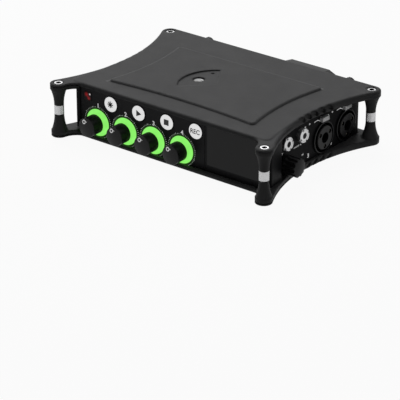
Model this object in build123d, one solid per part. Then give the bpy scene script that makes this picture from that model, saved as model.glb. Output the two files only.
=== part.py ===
"""Portable field recorder: two cast covers with corner posts, side frames, panels, knobs and sockets.

Millimetres.  +Z is up, +X is to the right and -Y is the front, where the knobs are.
The origin is the centre of the resting pad on the underside.
"""
from build123d import *
from math import asin, atan2, cos, degrees, radians, sin
import os

os.makedirs("parts", exist_ok=True)

# ---------- covers ----------
POST_X = 74.5            # post axes from the centre
POST_Y = 51.8
EAR_R = 5.5              # rear ears
FRONT_EAR_R = 5.0
WAIST_X = 67.5           # half width of the covers at the waist
SHOULDER_X = 72.5        # half width of the raised cover at its front lip
LIP_Y = 45.0             # front lip, forward of the centre
LIP_END_X = 60.0         # where the ear plate starts to swing out to the front ears
EAR_INSET = 0.5          # ear plate behind the raised cover's edge
CORNER_R = 4.0           # plan radius of the raised cover's front corners
PAD_RISE = 1.0           # pad above the cover's face
EAR_DROP = 0.4           # front ears and all screw heads below the cover's face
SIDE_EDGE = 4.0          # height of the covers' edge at the sides and ears
LIP_EDGE = 2.4           # height of the front lip
COVER_ROUND = 1.2        # rounding of the raised cover
EAR_ROUND = 0.5          # rounding of the front ears
EAR_CAP_T = 0.9          # rim of the ear plate above its groove
EAR_GROOVE_H = 0.8
EAR_GROOVE_DEPTH = 0.7
COVER_WALL = 1.5
LIP_WALL = 2.7
PAD_X = 53.0             # pad corners
PAD_FRONT_Y = 33.0
PAD_REAR_Y = 34.0
PAD_WAIST_X = 48.8
PAD_DIP = 3.0            # how far the pad's front edge bows in
PAD_CORNER_R = 2.2
PAD_CHAMFER = 0.6

# ---------- posts ----------
NECK_R = 2.85
FLARE_STEP = 0.2         # flare inside its ear
COLLAR_R = 2.95
COLLAR_H = 5.8
SCREW_R = 1.45
SCREW_HEAD_R = 2.45
SCREW_HEAD_H = 1.6
HEX_R = 1.65
HEX_DEPTH = 1.0
HEAD_CLEAR = 0.35        # radial clearance round the screw heads
SCREW_CLEAR = 0.15       # radial clearance of the post bores
SCREW_END_Z = 4.4

# ---------- vents, thread and the recess round it ----------
VENT_Y = 5.4             # middle vent
VENT_PITCH = 6.1
VENT_COUNT = 5
VENT_W = 2.4
VENT_LEN = 7.4
VENT_SLOPE = 32.0        # degrees, falling to the rear
VENT_DROP = 1.3          # middle of the vents below the cover's face
VENT_DEPTH = 1.0
THREAD_X = -12.0
THREAD_Y = 0.5
THREAD_R = 2.55          # tapping hole of a 1/4 inch 20 thread
THREAD_LEN = 6.0
INSERT_R = 3.6
INSERT_SINK = 1.2        # insert below the pad
INSERT_FLOOR = 0.6       # closed end of the insert
NUT_R = 5.6
RAMP_X = 2.1             # centre of the crescent recess
RAMP_Y = -0.6
RAMP_R = 23.0
RAMP_DEPTH = 0.8
RAMP_START = 122.0       # degrees
RAMP_END = 221.0
PIN_HOLE = (-10.9, 12.5)             # locating hole beside the thread
PIN_HOLE_R = 0.9
PIN_HOLE_DEPTH = 1.6

# ---------- side frames and panels ----------
PANEL_T = 2.0
FRONT_Y = 41.0           # front panel face, forward of the centre
FRONT_X = 67.3           # half width of the front panel
PILLAR_PROUD = 0.5       # pillars in front of the panel
PILLAR_INSET = 0.3       # pillars behind the cover's edge
PILLAR_END_Y = 27.0      # rear end of the front pillars, forward of the centre
PILLAR_ROUND = 2.0
REAR_PILLAR_ROUND = 1.5
SIDE_X = 66.0            # side panel faces
SIDE_REAR_Y = 48.5       # rear end of the side panels
REAR_Y = 52.5            # rear panel face
FRAME_T = 2.0
RAIL_H = 2.0

# ---------- front controls ----------
CHANNELS = 4
CHANNEL_X = -54.2        # first channel knob
CHANNEL_PITCH = 20.8
CHANNEL_Z = 11.0
RING_R = 8.3
RING_BORE_R = 4.8
RING_T = 1.5
RING_PROUD = 0.3
RING_BEVEL = 0.2
BUTTON_R = 4.9
BUTTON_ROUND = 0.5
BUTTON_SHIFT = 10.3      # button beside its knob
BUTTON_DROP = 10.8       # buttons below the top
BUTTON_PROUD = 0.7
BUTTON_TRAVEL = 0.6
BUTTON_NAMES = ("star_button", "play_button", "stop_button", "record_button")
FLANGE_W = 0.7           # button flange beyond its cap
FLANGE_T = 0.8
STEM_R = 1.2
STEM_LEN = 1.4
LED_X = -61.4
LED_DROP = 10.1
LED_W = 5.4
LED_H = 5.0
LED_ROUND = 0.25
SEAM_X = 25.0            # seam between the controls and the display
SEAM_W = 0.35
SEAM_DEPTH = 0.3
GLASS_X = 26.7
GLASS_END_X = 66.4
GLASS_Z = 6.8
GLASS_DROP = 3.6         # glass's top edge below the top
GLASS_T = 1.2
GLASS_PROUD = 0.2
DISPLAY_X = (30.0, 60.0)             # display window in the panel
DISPLAY_RISE = 3.0       # window inside the glass, below and above
DISPLAY_DROP = 2.8
MODULE_BORDER = 1.0      # display module beyond its window
MODULE_T = 3.0

# ---------- knobs, shafts and potentiometers ----------
KNOB_R = 6.15            # front rim
KNOB_BACK_R = 4.95
PHONE_KNOB_R = 5.7
KNOB_LEN = 9.9
KNOB_DOME = 0.7
KNOB_EDGE = 0.6          # rounding of the rim
KNOB_GAP = 1.1           # knob's back in front of the panel
KNOB_TRAVEL = 0.5
KNOB_SOCKET = 5.0        # depth of the shaft's seat in the knob
SHAFT_R = 3.0
SHAFT_BEVEL = 0.4
BUSH_R = 3.6
BUSH_PROUD = 1.0
BUSH_ROOM = 0.5          # room round the bush in the knob's back
RUN_FIT = 0.05           # radial running fit
PRESS_FIT = 0.02
POT_W = 10.4
POT_DEPTH = 8.0
POT_BACK = 3.3           # thickness behind the shaft
PLUNGER_R = 1.9
PLUNGER_LEN = 3.0
FLUTES = 12
FLUTE_R = 1.1
FLUTE_OUT = 0.3          # flute axes outside the rim
FLUTE_START = 1.6        # plain stretch at the knob's back
PHONE_Y = -21.0          # headphone knob on the right side
PHONE_Z = 11.5

# ---------- sockets ----------
COMBO_Y = (15.9, 38.2)
COMBO_Z = 14.9
BARREL_R = 9.6
GROOVE_R = 8.9
GROOVE_DEPTH = 11.0
BARREL_PROUD = 1.0
BARREL_DEPTH = 14.0
BARREL_ROUND = 0.3
PLUG_R = 7.2             # centre of the combination socket
PLUG_PROUD = 1.7
PLUG_ROUND = 0.5
JACK_R = 3.25            # 6.35 mm plug hole
PIN_R = 1.3
PIN_PCD = 10.6
PIN_DEPTH = 10.0
PIN_ANGLES = (-90, 30, 150)
TAB_W = 6.2
TAB_H = 2.6
TAB_RISE = 11.7          # release tab above its socket
TAB_PROUD = 2.4
TAB_DEPTH = 4.5
TAB_BEVEL = 0.4
MINI_Y = (-21.0, -6.0)   # 3.5 mm jacks
MINI_DROP = 12.1         # upper row of jacks and ports below the top
MINI_BORE_R = 1.8
MINI_SLEEVE_R = 3.2
MINI_NUT_R = 4.15
MINI_NUT_H = 3.2
MINI_NUT_BEVEL = 0.5
MINI_SLOT_W = 1.0        # spanner slots
MINI_SLOT_DEPTH = 0.6
MINI_SLEEVE_SINK = 0.3   # sleeve behind its nut's face
MINI_BODY_W = 8.0
MINI_DEPTH = 16.0
BOARD_X = 40.0           # outer face of the side boards
BOARD_T = 1.6
GAP = 0.3                # clearance between bodies that move apart

# ---------- left side ports and power switch ----------
USBC_Y = -20.0
USBC_SIZE = (8.94, 3.26)
USBC_CORNER = 1.6
USBC_TONGUE = (6.7, 0.7, 0.0)        # width, thickness, rise
HDMI_Y = -6.0
HDMI_SIZE = (6.8, 3.2)
HDMI_CORNER = 0.5
HDMI_TONGUE = (4.6, 0.6, 0.0)
USBA_Y = -19.0
USBA_Z = 11.5
USBA_SIZE = (13.1, 5.7)
USBA_CORNER = 0.6
USBA_TONGUE = (11.0, 1.8, 1.4)
PORT_WALL = 0.35
PORT_DEPTH = 9.0
PORT_PROUD = 0.3
SWITCH_Y = -2.0          # power switch at its off end
SWITCH_Z = 11.5
SLIDER_W = 4.0
SLIDER_H = 2.4
SLIDER_PROUD = 1.4
SLIDER_TRAVEL = 4.0
SLIDER_FLANGE = 1.6
SLIDER_T = 0.8
POWER_BODY_DEPTH = 6.0
POWER_BODY_WALL = 1.5    # switch body beyond the slider's flange

# ---------- boards ----------
BOARD_GAP = 1.9          # main board inside the side boards
MAIN_Y = (-27.0, 25.0)
MAIN_Z = 8.0
BOSS_R = 2.6
BOSS_INSET = 4.0         # bosses in from the board's corners
BOARD_SCREW_R = 1.0
BOARD_HEAD_R = 2.0
BOARD_HEAD_H = 1.3
SWITCH_W = 6.0           # tact switches
SWITCH_T = 3.4
ACTUATOR_R = 1.7
CHIP_H = 1.2
CHIPS = ((-14.0, -10.0, 14.0, 14.0), (10.0, -12.0, 12.0, 12.0), (12.0, 10.0, 18.0, 10.0))

# ---------- battery bay and sled ----------
BAY_WALL = 1.5
BAY_FRONT_Y = 30.0       # inside of the bay's front wall
CELL_R = 7.25
CELL_LEN = 50.5
CELL_NUB_R = 2.7
CELL_NUB_H = 1.0
CELL_CLEAR = 0.1
CELL_ROOM = 0.8          # cells inside the covers
CONTACT_ROOM = 1.65      # between a cell's end and the tray
CONTACT_T = 0.4
CONTACT_HALF = 4.0       # half width of a contact plate
SPRING_HALF = 1.6
SLED_GAP = 0.4           # sled behind the covers
SLED_X = 58.0
SLED_T = 2.0
SLED_CORNER_R = 3.0
SLED_MARGIN = 3.3        # back plate inside the overall height, below and above
BLOCK_X = 46.0           # half width of the sled's raised back
BLOCK_MARGIN = 3.2
BLOCK_ROUND = 4.0
BLOCK_WALL = 1.65
HUMP_X = (3.0, 44.0)
HUMP_DROP = 2.0
HUMP_SLOPE = 7.0         # length of its sloping ends
HUMP_ROUND = 2.0
TRAY_WALL = 1.2
THUMB_X = 52.3
THUMB_DROP = 6.8
THUMB_R = 3.9
THUMB_H = 3.2
THUMB_BEVEL = 0.4
THUMB_RIBS = 16
THUMB_GROOVE_R = 0.45
THUMB_GROOVE_OUT = 0.2   # groove axes outside the head
THUMB_SHANK_R = 1.5
THUMB_HOLE_CLEAR = 0.3
THUMB_BOSS_R = 3.2
THUMB_BOSS_LEN = 4.0
CARD_T = 3.4
CARD_W = 24.4
CARD_RIM = 0.6           # card socket's edge beside the card
CARD_DEPTH = 23.0
CARD_SLOT_T = 2.4

# ---------- levels and places worked out from the sizes above ----------
CELL_PITCH = 2 * (CELL_R + CELL_CLEAR)
INNER_H = 2 * CELL_PITCH + 2 * CELL_ROOM
HEIGHT = INNER_H + 2 * (COVER_WALL + PAD_RISE)
MID_Z = HEIGHT / 2
FACE_Z = HEIGHT - PAD_RISE
EAR_Z = FACE_Z - EAR_DROP
EDGE_Z = FACE_Z - SIDE_EDGE
LIP_Z = FACE_Z - LIP_EDGE
ROOF_Z = FACE_Z - COVER_WALL          # underside of the top cover's plate
FLOOR_Z = HEIGHT - ROOF_Z
COVER_REAR_Y = POST_Y + EAR_R
POSTS = [(x, y) for x in (-POST_X, POST_X) for y in (-POST_Y, POST_Y)]
BUTTON_Z = HEIGHT - BUTTON_DROP
LED_Z = HEIGHT - LED_DROP
GLASS_TOP_Z = HEIGHT - GLASS_DROP
DISPLAY_Z = (GLASS_Z + DISPLAY_RISE, GLASS_TOP_Z - DISPLAY_DROP)
TAB_Z = COMBO_Z + TAB_RISE
MINI_Z = HEIGHT - MINI_DROP
USBC = (USBC_Y, MINI_Z, *USBC_SIZE)      # y, z, width, height
HDMI = (HDMI_Y, MINI_Z, *HDMI_SIZE)
USBA = (USBA_Y, USBA_Z, *USBA_SIZE)
MAIN_X = BOARD_X - BOARD_T - BOARD_GAP   # half width of the main board
BAY_X = CELL_LEN / 2 + CONTACT_ROOM + TRAY_WALL + SLED_GAP       # half width inside the bay
FIRST_CELL_Y = BAY_FRONT_Y + SLED_GAP + TRAY_WALL + CELL_CLEAR + CELL_R
CELL_Y = (FIRST_CELL_Y, FIRST_CELL_Y + CELL_PITCH)
SLED_Y = COVER_REAR_Y + SLED_GAP         # front face of the sled's back plate
BLOCK_T = CELL_Y[1] + CELL_PITCH / 2 + BLOCK_WALL - SLED_Y
THUMB_Z = HEIGHT - THUMB_DROP
CARD_X = -(BAY_X + BAY_WALL + BOARD_X - BOARD_T) / 2     # midway between bay and board


def save(name, *solids):
    """Write one node; several separate solids go in as a group."""
    shape = solids[0] if len(solids) == 1 else Compound(children=list(solids))
    shape.label = name
    export_step(shape, f"parts/{name}.step")


def box(x, y, z):
    """Box from three (low, high) pairs."""
    middle = [(low + high) / 2 for low, high in (x, y, z)]
    return Pos(*middle) * Box(x[1] - x[0], y[1] - y[0], z[1] - z[0])


def rod(radius, low, high):
    """Cylinder along Z from low to high."""
    return Pos(0, 0, (low + high) / 2) * Cylinder(radius, high - low)


def prism(face, low, high):
    """Extrude a plan face from one level to another."""
    return Pos(0, 0, low) * extrude(face, high - low)


def solid(shape):
    """The single solid of a boolean's result."""
    found = shape.solids()
    assert len(found) == 1, f"expected one solid, found {len(found)}"
    return found[0]


def front(x, z):
    """Local frame on the front panel's face: Z points out of the panel, Y is up."""
    return Plane((x, -FRONT_Y, z), x_dir=(1, 0, 0), z_dir=(0, -1, 0)).location


def side(sign, y, z):
    """Local frame on a side panel's face, right for sign 1 and left for -1."""
    return Plane((sign * SIDE_X, y, z), x_dir=(0, sign, 0), z_dir=(sign, 0, 0)).location


def arc(x, y, radius, start, end):
    """Arc about (x, y) from one angle to another, in degrees."""
    angles = [radians(a) for a in (start, (start + end) / 2, end)]
    return ThreePointArc(*[(x + radius * cos(a), y + radius * sin(a)) for a in angles])


def symmetric_face(edges):
    """Face from the edges of its right half and their mirror images."""
    return make_face(edges + [mirror(edge, about=Plane.YZ) for edge in edges])


def flank_radius(waist, ear_r):
    """Radius of the concave side, which touches an ear and passes the waist."""
    gap = waist - POST_X
    return (gap ** 2 + POST_Y ** 2 - ear_r ** 2) / (2 * (ear_r - gap))


def ear_plate_face(inset):
    """Plan of the plate that carries the front ears, drawn in all round by an inset."""
    waist = WAIST_X - EAR_INSET - inset
    lip = LIP_Y - EAR_INSET - inset
    ear_r = FRONT_EAR_R - inset
    flank = flank_radius(waist, ear_r)
    turn = degrees(asin(POST_Y / (flank + ear_r)))
    rise = lip - POST_Y
    swing = ((POST_X - LIP_END_X) ** 2 + rise ** 2 - ear_r ** 2) / (2 * (ear_r - rise))
    lean = degrees(atan2(swing + rise, POST_X - LIP_END_X))
    return symmetric_face([
        Line((0, -lip), (LIP_END_X, -lip)),
        arc(LIP_END_X, -lip - swing, swing, 90, lean),
        arc(POST_X, -POST_Y, ear_r, 180 + lean, 360 + turn),
        arc(waist + flank, 0, flank, 180 + turn, 180),
        Line((waist, 0), (0, 0)),
    ])


def shoulder_radius():
    """Radius of the raised cover's flank in front of the waist."""
    return (LIP_Y ** 2 + (SHOULDER_X - WAIST_X) ** 2) / (2 * (SHOULDER_X - WAIST_X))


def shoulder_x(y):
    """Half width of the raised cover at a place in front of the waist."""
    radius = shoulder_radius()
    return WAIST_X + radius - (radius ** 2 - y ** 2) ** 0.5


def cover_face():
    """Plan of the raised cover: straight front lip, concave sides, rear ears."""
    radius = shoulder_radius()
    flank = flank_radius(WAIST_X, EAR_R)
    turn = degrees(asin(POST_Y / (flank + EAR_R)))
    face = symmetric_face([
        Line((0, -LIP_Y), (SHOULDER_X, -LIP_Y)),
        arc(WAIST_X + radius, 0, radius, 180 + degrees(asin(LIP_Y / radius)), 180),
        arc(WAIST_X + flank, 0, flank, 180, 180 - turn),
        arc(POST_X, POST_Y, EAR_R, -turn, 90),
        Line((POST_X, COVER_REAR_Y), (0, COVER_REAR_Y)),
    ])
    corners = face.vertices().sort_by(Axis.Y)[:3].filter_by(lambda v: abs(v.X) > LIP_END_X)
    return fillet(corners, CORNER_R)


def pad_face():
    """Plan of the pad: four rounded corners, bowed sides and front."""
    front_y, rear_y = -PAD_FRONT_Y, PAD_REAR_Y
    face = make_face([
        ThreePointArc((-PAD_X, front_y), (0, front_y + PAD_DIP), (PAD_X, front_y)),
        ThreePointArc((PAD_X, front_y), (PAD_WAIST_X, 0), (PAD_X, rear_y)),
        Line((PAD_X, rear_y), (-PAD_X, rear_y)),
        ThreePointArc((-PAD_X, rear_y), (-PAD_WAIST_X, 0), (-PAD_X, front_y)),
    ])
    return fillet(face.vertices(), PAD_CORNER_R)


def top_edges(shape, level):
    """Edges that lie in the plane at a level."""
    return [e for e in shape.edges() if abs(e.bounding_box().min.Z - level) < 1e-4
            and abs(e.bounding_box().max.Z - level) < 1e-4]


def half_post(ear_r):
    """Upper half of a post about its own axis: flared under its ear, cylindrical at the collar."""
    flare = ear_r - FLARE_STEP
    core = flare - EAR_GROOVE_DEPTH
    low = MID_Z + COLLAR_H / 2
    rise = EDGE_Z - low
    swing = ((flare - NECK_R) ** 2 + rise ** 2) / (2 * (flare - NECK_R))
    half = asin(rise / swing) / 2
    middle = (NECK_R + swing * (1 - cos(half)), low + swing * sin(half))
    top = EAR_Z - EAR_CAP_T
    profile = make_face([
        Line((0, low), (NECK_R, low)),
        ThreePointArc((NECK_R, low), middle, (flare, EDGE_Z)),
        Line((flare, EDGE_Z), (core, EDGE_Z)),
        Line((core, EDGE_Z), (core, top)),
        Line((core, top), (0, top)),
        Line((0, top), (0, low)),
    ])
    return revolve(Plane.XZ * profile, Axis.Z)


def ear_plate():
    """Plate of the front ears, with the groove under its rim."""
    plate = prism(ear_plate_face(0), EDGE_Z, EAR_Z)
    plate = fillet(top_edges(plate, EAR_Z), EAR_ROUND)
    groove_top = EAR_Z - EAR_CAP_T
    groove = ear_plate_face(0) - ear_plate_face(EAR_GROOVE_DEPTH)
    return plate - prism(groove, groove_top - EAR_GROOVE_H, groove_top)


def cover():
    """One cover, as the top one: plate, ears, half posts, pad and the hollow underneath."""
    raised = prism(cover_face(), EDGE_Z, FACE_Z)
    raised = fillet(top_edges(raised, FACE_Z), COVER_ROUND)
    body = raised + ear_plate()
    body += pad()
    for x, y in POSTS:
        body += Pos(x, y, 0) * half_post(FRONT_EAR_R if y < 0 else EAR_R)
    hollow_front = -LIP_Y + LIP_WALL
    body -= box((-FRONT_X, FRONT_X), (hollow_front, -PILLAR_END_Y), (EDGE_Z - 1, ROOF_Z))
    body -= box((-SIDE_X, SIDE_X), (-PILLAR_END_Y - 1, REAR_Y), (EDGE_Z - 1, ROOF_Z))
    body -= box((-SIDE_X, SIDE_X), (-LIP_Y - 1, hollow_front + 1), (EDGE_Z - 1, LIP_Z))
    body -= box((-BAY_X, BAY_X), (REAR_Y - 1, COVER_REAR_Y + 1), (EDGE_Z - 1, ROOF_Z))
    body -= vents()
    body -= Pos(THREAD_X, THREAD_Y, 0) * rod(INSERT_R, ROOF_Z - 1, HEIGHT + 1)
    for x, y in POSTS:
        body -= Pos(x, y, 0) * rod(SCREW_HEAD_R + HEAD_CLEAR, EAR_Z - SCREW_HEAD_H, EAR_Z + 1)
        body -= Pos(x, y, 0) * rod(SCREW_R + SCREW_CLEAR, MID_Z, EAR_Z)
    return body


def pad():
    """Raised pad with a chamfered edge."""
    shape = prism(pad_face(), FACE_Z - PAD_RISE, HEIGHT)
    return chamfer(top_edges(shape, HEIGHT), PAD_CHAMFER)


def vents():
    """Cutters for the row of sloping vents in the edge of both sides."""
    middle = (VENT_COUNT - 1) / 2
    slot = Rot(0, 0, -VENT_SLOPE) * SlotOverall(VENT_LEN, VENT_W)
    cutters = Part()
    for i in range(VENT_COUNT):
        y = VENT_Y + (i - middle) * VENT_PITCH
        edge_x = WAIST_X + y ** 2 / (2 * flank_radius(WAIST_X, EAR_R))
        wall = Plane((edge_x - VENT_DEPTH, y, FACE_Z - VENT_DROP), x_dir=(0, 1, 0), z_dir=(1, 0, 0))
        cutters += wall.location * extrude(slot, SIDE_EDGE)
    return cutters + mirror(cutters, about=Plane.YZ)


def ramp():
    """Cutter for the crescent recess: a pie slice whose floor sinks from its centre outwards."""
    centre = Pos(RAMP_X, RAMP_Y, HEIGHT)
    slice_face = make_face([
        Line((0, 0), (RAMP_R * cos(radians(RAMP_START)), RAMP_R * sin(radians(RAMP_START)))),
        arc(0, 0, RAMP_R, RAMP_START, RAMP_END),
        Line((RAMP_R * cos(radians(RAMP_END)), RAMP_R * sin(radians(RAMP_END))), (0, 0)),
    ])
    pie = Pos(0, 0, -RAMP_DEPTH - 1) * extrude(slice_face, RAMP_DEPTH + 2)
    heading = (RAMP_START + RAMP_END) / 2
    tilt = degrees(atan2(RAMP_DEPTH, RAMP_R))
    above = Rot(0, 0, heading) * Rot(0, tilt, 0) * Pos(0, 0, RAMP_R) * Box(4 * RAMP_R, 4 * RAMP_R, 2 * RAMP_R)
    return centre * (pie & above)


def top_shell():
    """The upper cover, with the crescent recess and the locating hole beside the thread."""
    hole = Pos(*PIN_HOLE, 0) * rod(PIN_HOLE_R, HEIGHT - PIN_HOLE_DEPTH, HEIGHT + 1)
    return solid(cover() - ramp() - hole)


def bottom_shell():
    """The cover turned over, with blind post holes and bosses for the main board."""
    shape = mirror(cover(), about=Plane.XY.offset(MID_Z))
    for x, y in board_bosses():
        shape += Pos(x, y, 0) * rod(BOSS_R, FLOOR_Z - COVER_WALL / 2, MAIN_Z)
    for x, y in board_bosses():
        shape -= Pos(x, y, 0) * rod(BOARD_SCREW_R, FLOOR_Z, MAIN_Z + 1)
    for x, y in POSTS:
        plug = rod(SCREW_HEAD_R + HEAD_CLEAR, HEIGHT - EAR_Z, SCREW_END_Z - SCREW_CLEAR)
        shape += Pos(x, y, 0) * plug
    return solid(shape)


def board_bosses():
    """Places of the main board's screws."""
    xs = (-MAIN_X + BOSS_INSET, MAIN_X - BOSS_INSET)
    ys = (MAIN_Y[0] + BOSS_INSET, MAIN_Y[1] - BOSS_INSET)
    return [(x, y) for x in xs for y in ys]


def corner_screw():
    """Long screw through a post, with a hexagon socket."""
    shape = rod(SCREW_HEAD_R, EAR_Z - SCREW_HEAD_H, EAR_Z) + rod(SCREW_R, SCREW_END_Z, EAR_Z - SCREW_HEAD_H)
    socket = Pos(0, 0, EAR_Z - HEX_DEPTH) * extrude(RegularPolygon(HEX_R, 6), HEX_DEPTH)
    return shape - socket


def collar():
    """Metal collar between two half posts, about its own axis."""
    low, high = MID_Z - COLLAR_H / 2, MID_Z + COLLAR_H / 2
    shape = rod(COLLAR_R, low, high)
    shape = chamfer(shape.edges().filter_by(GeomType.CIRCLE), COLLAR_R - NECK_R)
    return shape - rod(SCREW_R + SCREW_CLEAR, low - 1, high + 1)


def thread_insert():
    """Threaded bush for a camera screw, as the top one, about its own axis."""
    mouth = HEIGHT - INSERT_SINK
    shape = rod(INSERT_R, ROOF_Z, mouth) + rod(NUT_R, mouth - THREAD_LEN - INSERT_FLOOR, ROOF_Z)
    return shape - rod(THREAD_R, mouth - THREAD_LEN, mouth + 1)


# ---------- side frames and panels ----------
def side_frame():
    """Right frame: front pillar, rear pillar and the rail that joins them under the cover."""
    y_front, y_end = -FRONT_Y - PILLAR_PROUD, -PILLAR_END_Y
    inner = SIDE_X - PANEL_T - FRAME_T
    face = make_face(Polyline([
        (inner, -FRONT_Y + PANEL_T), (FRONT_X, -FRONT_Y + PANEL_T), (FRONT_X, y_front),
        (shoulder_x(y_front) - PILLAR_INSET, y_front), (shoulder_x(y_end) - PILLAR_INSET, y_end),
        (inner, y_end), (inner, -FRONT_Y + PANEL_T)]))
    outer = face.vertices().filter_by(lambda v: v.X > FRONT_X + PILLAR_PROUD)
    pillar = prism(fillet(outer, PILLAR_ROUND), HEIGHT - EDGE_Z, EDGE_Z)
    rear = Rectangle(SIDE_X - inner, REAR_Y - SIDE_REAR_Y)
    corner = rear.vertices().group_by(Axis.X)[-1].sort_by(Axis.Y)[-1]
    rear = Pos((inner + SIDE_X) / 2, (SIDE_REAR_Y + REAR_Y) / 2) * fillet(corner, REAR_PILLAR_ROUND)
    rear_pillar = prism(rear, HEIGHT - EDGE_Z, EDGE_Z)
    rail = box((inner, inner + FRAME_T), (y_end - 1, SIDE_REAR_Y + 1), (EDGE_Z - RAIL_H, EDGE_Z))
    return solid(pillar + rear_pillar + rail)


def ring_places():
    """Places of the four channels along the front panel."""
    return [CHANNEL_X + i * CHANNEL_PITCH for i in range(CHANNELS)]


def front_panel():
    """Front panel with ring seats, bush holes, button holes, lamp window and display recess."""
    shape = box((-FRONT_X, FRONT_X), (-FRONT_Y, -FRONT_Y + PANEL_T), (FLOOR_Z, ROOF_Z))
    for x in ring_places():
        place = front(x, CHANNEL_Z)
        shape -= place * rod(RING_R + PRESS_FIT, RING_PROUD - RING_T, 1)
        shape -= place * rod(BUSH_R + PRESS_FIT, -PANEL_T - 1, 1)
        shape -= front(x + BUTTON_SHIFT, BUTTON_Z) * rod(BUTTON_R + GAP, -PANEL_T - 1, 1)
    shape -= front(LED_X, LED_Z) * Box(LED_W, LED_H, 3 * PANEL_T)
    seam = box((SEAM_X - SEAM_W / 2, SEAM_X + SEAM_W / 2), (-FRONT_Y - 1, -FRONT_Y + SEAM_DEPTH),
               (FLOOR_Z - 1, ROOF_Z + 1))
    shape -= seam
    glass_back = -FRONT_Y + GLASS_T - GLASS_PROUD
    glass = box((GLASS_X, GLASS_END_X), (-FRONT_Y - 1, glass_back), (GLASS_Z, GLASS_TOP_Z))
    window = box(DISPLAY_X, (-FRONT_Y - 1, -FRONT_Y + PANEL_T + 1), DISPLAY_Z)
    return solid(shape - glass - window)


def light_ring():
    """Light guide about its own axis; the knob stands in its middle."""
    shape = rod(RING_R, RING_PROUD - RING_T, RING_PROUD)
    shape = chamfer(shape.edges().filter_by(GeomType.CIRCLE).sort_by(Axis.Z)[-1], RING_BEVEL)
    return shape - rod(RING_BORE_R, -RING_T - 1, RING_PROUD + 1)


def led_window():
    """Window of the warning lamp, through the panel."""
    shape = box((-LED_W / 2, LED_W / 2), (-LED_H / 2, LED_H / 2), (-PANEL_T, RING_PROUD))
    shape = fillet(shape.edges().group_by(Axis.Z)[-1], LED_ROUND)
    return front(LED_X, LED_Z) * shape


def screen_glass():
    """Glass over the display, set into the panel."""
    return box((GLASS_X, GLASS_END_X), (-FRONT_Y - GLASS_PROUD, -FRONT_Y + GLASS_T - GLASS_PROUD),
               (GLASS_Z, GLASS_TOP_Z))


def display_module():
    """Display with its backlight on the back of the front panel and a raised cell in the window."""
    back = -FRONT_Y + PANEL_T
    base = box((DISPLAY_X[0] - MODULE_BORDER, DISPLAY_X[1] + MODULE_BORDER), (back, back + MODULE_T),
               (DISPLAY_Z[0] - MODULE_BORDER, DISPLAY_Z[1] + MODULE_BORDER))
    cell = box((DISPLAY_X[0] + PRESS_FIT, DISPLAY_X[1] - PRESS_FIT),
               (-FRONT_Y + GLASS_T - GLASS_PROUD, back + MODULE_T / 2),
               (DISPLAY_Z[0] + PRESS_FIT, DISPLAY_Z[1] - PRESS_FIT))
    return solid(base + cell)


def button():
    """Round button about its own axis: domed cap, flange behind the panel, stem to the switch."""
    cap = rod(BUTTON_R, -PANEL_T - GAP, BUTTON_PROUD)
    cap = fillet(cap.edges().filter_by(GeomType.CIRCLE).sort_by(Axis.Z)[-1], BUTTON_ROUND)
    flange_z = -PANEL_T - GAP
    shape = cap + rod(BUTTON_R + FLANGE_W, flange_z - FLANGE_T, flange_z)
    return shape + rod(STEM_R, flange_z - FLANGE_T - STEM_LEN, flange_z)


def board_face_z():
    """Control board's front face, in the local frame of the front panel."""
    return -PANEL_T - POT_DEPTH


def tact_switch():
    """Switch on the control board behind a button, about the button's axis."""
    low = board_face_z()
    stem_end = -PANEL_T - GAP - FLANGE_T - STEM_LEN
    tip = stem_end - BUTTON_TRAVEL - GAP
    shape = Pos(0, 0, low + SWITCH_T / 2) * Box(SWITCH_W, SWITCH_W, SWITCH_T)
    return solid(shape + rod(ACTUATOR_R, low, tip))


# ---------- knobs ----------
def shaft_end():
    """Rear end of a shaft, in the local frame of its panel."""
    return -PANEL_T - POT_DEPTH + POT_BACK + KNOB_TRAVEL


def pot():
    """Potentiometer with a push switch: body, bush through the panel, bore for shaft and plunger."""
    low = -PANEL_T - POT_DEPTH
    shape = Pos(0, 0, low + POT_DEPTH / 2) * Box(POT_W, POT_W, POT_DEPTH)
    shape += rod(BUSH_R, -PANEL_T, BUSH_PROUD)
    shape -= rod(SHAFT_R + RUN_FIT, low + POT_BACK, BUSH_PROUD + 1)
    return solid(shape - rod(PLUNGER_R + RUN_FIT, low - 1, low + POT_BACK + 1))


def plunger():
    """Push switch plunger behind the shaft."""
    high = shaft_end() - RUN_FIT
    return rod(PLUNGER_R, high - PLUNGER_LEN, high)


def shaft():
    """Shaft between a potentiometer and its knob."""
    seat = KNOB_GAP + KNOB_SOCKET
    shape = rod(SHAFT_R, shaft_end(), seat)
    return chamfer(shape.edges().filter_by(GeomType.CIRCLE).sort_by(Axis.Z)[-1], SHAFT_BEVEL)


def knob(back_r, rim_r):
    """Knob that widens to its rim, with a shallow dome in front, hollow round the bush."""
    back, face = KNOB_GAP, KNOB_GAP + KNOB_LEN
    shoulder = face - KNOB_DOME
    sphere_r = (rim_r ** 2 + KNOB_DOME ** 2) / (2 * KNOB_DOME)
    half = asin(rim_r / sphere_r) / 2
    dome_middle = (sphere_r * sin(half), face - sphere_r * (1 - cos(half)))
    profile = make_face([
        Line((0, back), (back_r, back)),
        Line((back_r, back), (rim_r, shoulder)),
        ThreePointArc((rim_r, shoulder), dome_middle, (0, face)),
        Line((0, face), (0, back)),
    ])
    rim = profile.vertices().sort_by(Axis.X)[-1]
    shape = revolve(Plane.XZ * fillet(rim, KNOB_EDGE), Axis.Z)
    shape -= rod(SHAFT_R + PRESS_FIT, back - 1, back + KNOB_SOCKET)
    return solid(shape - rod(BUSH_R + BUSH_ROOM, back - 1, BUSH_PROUD + BUSH_ROOM))


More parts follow.
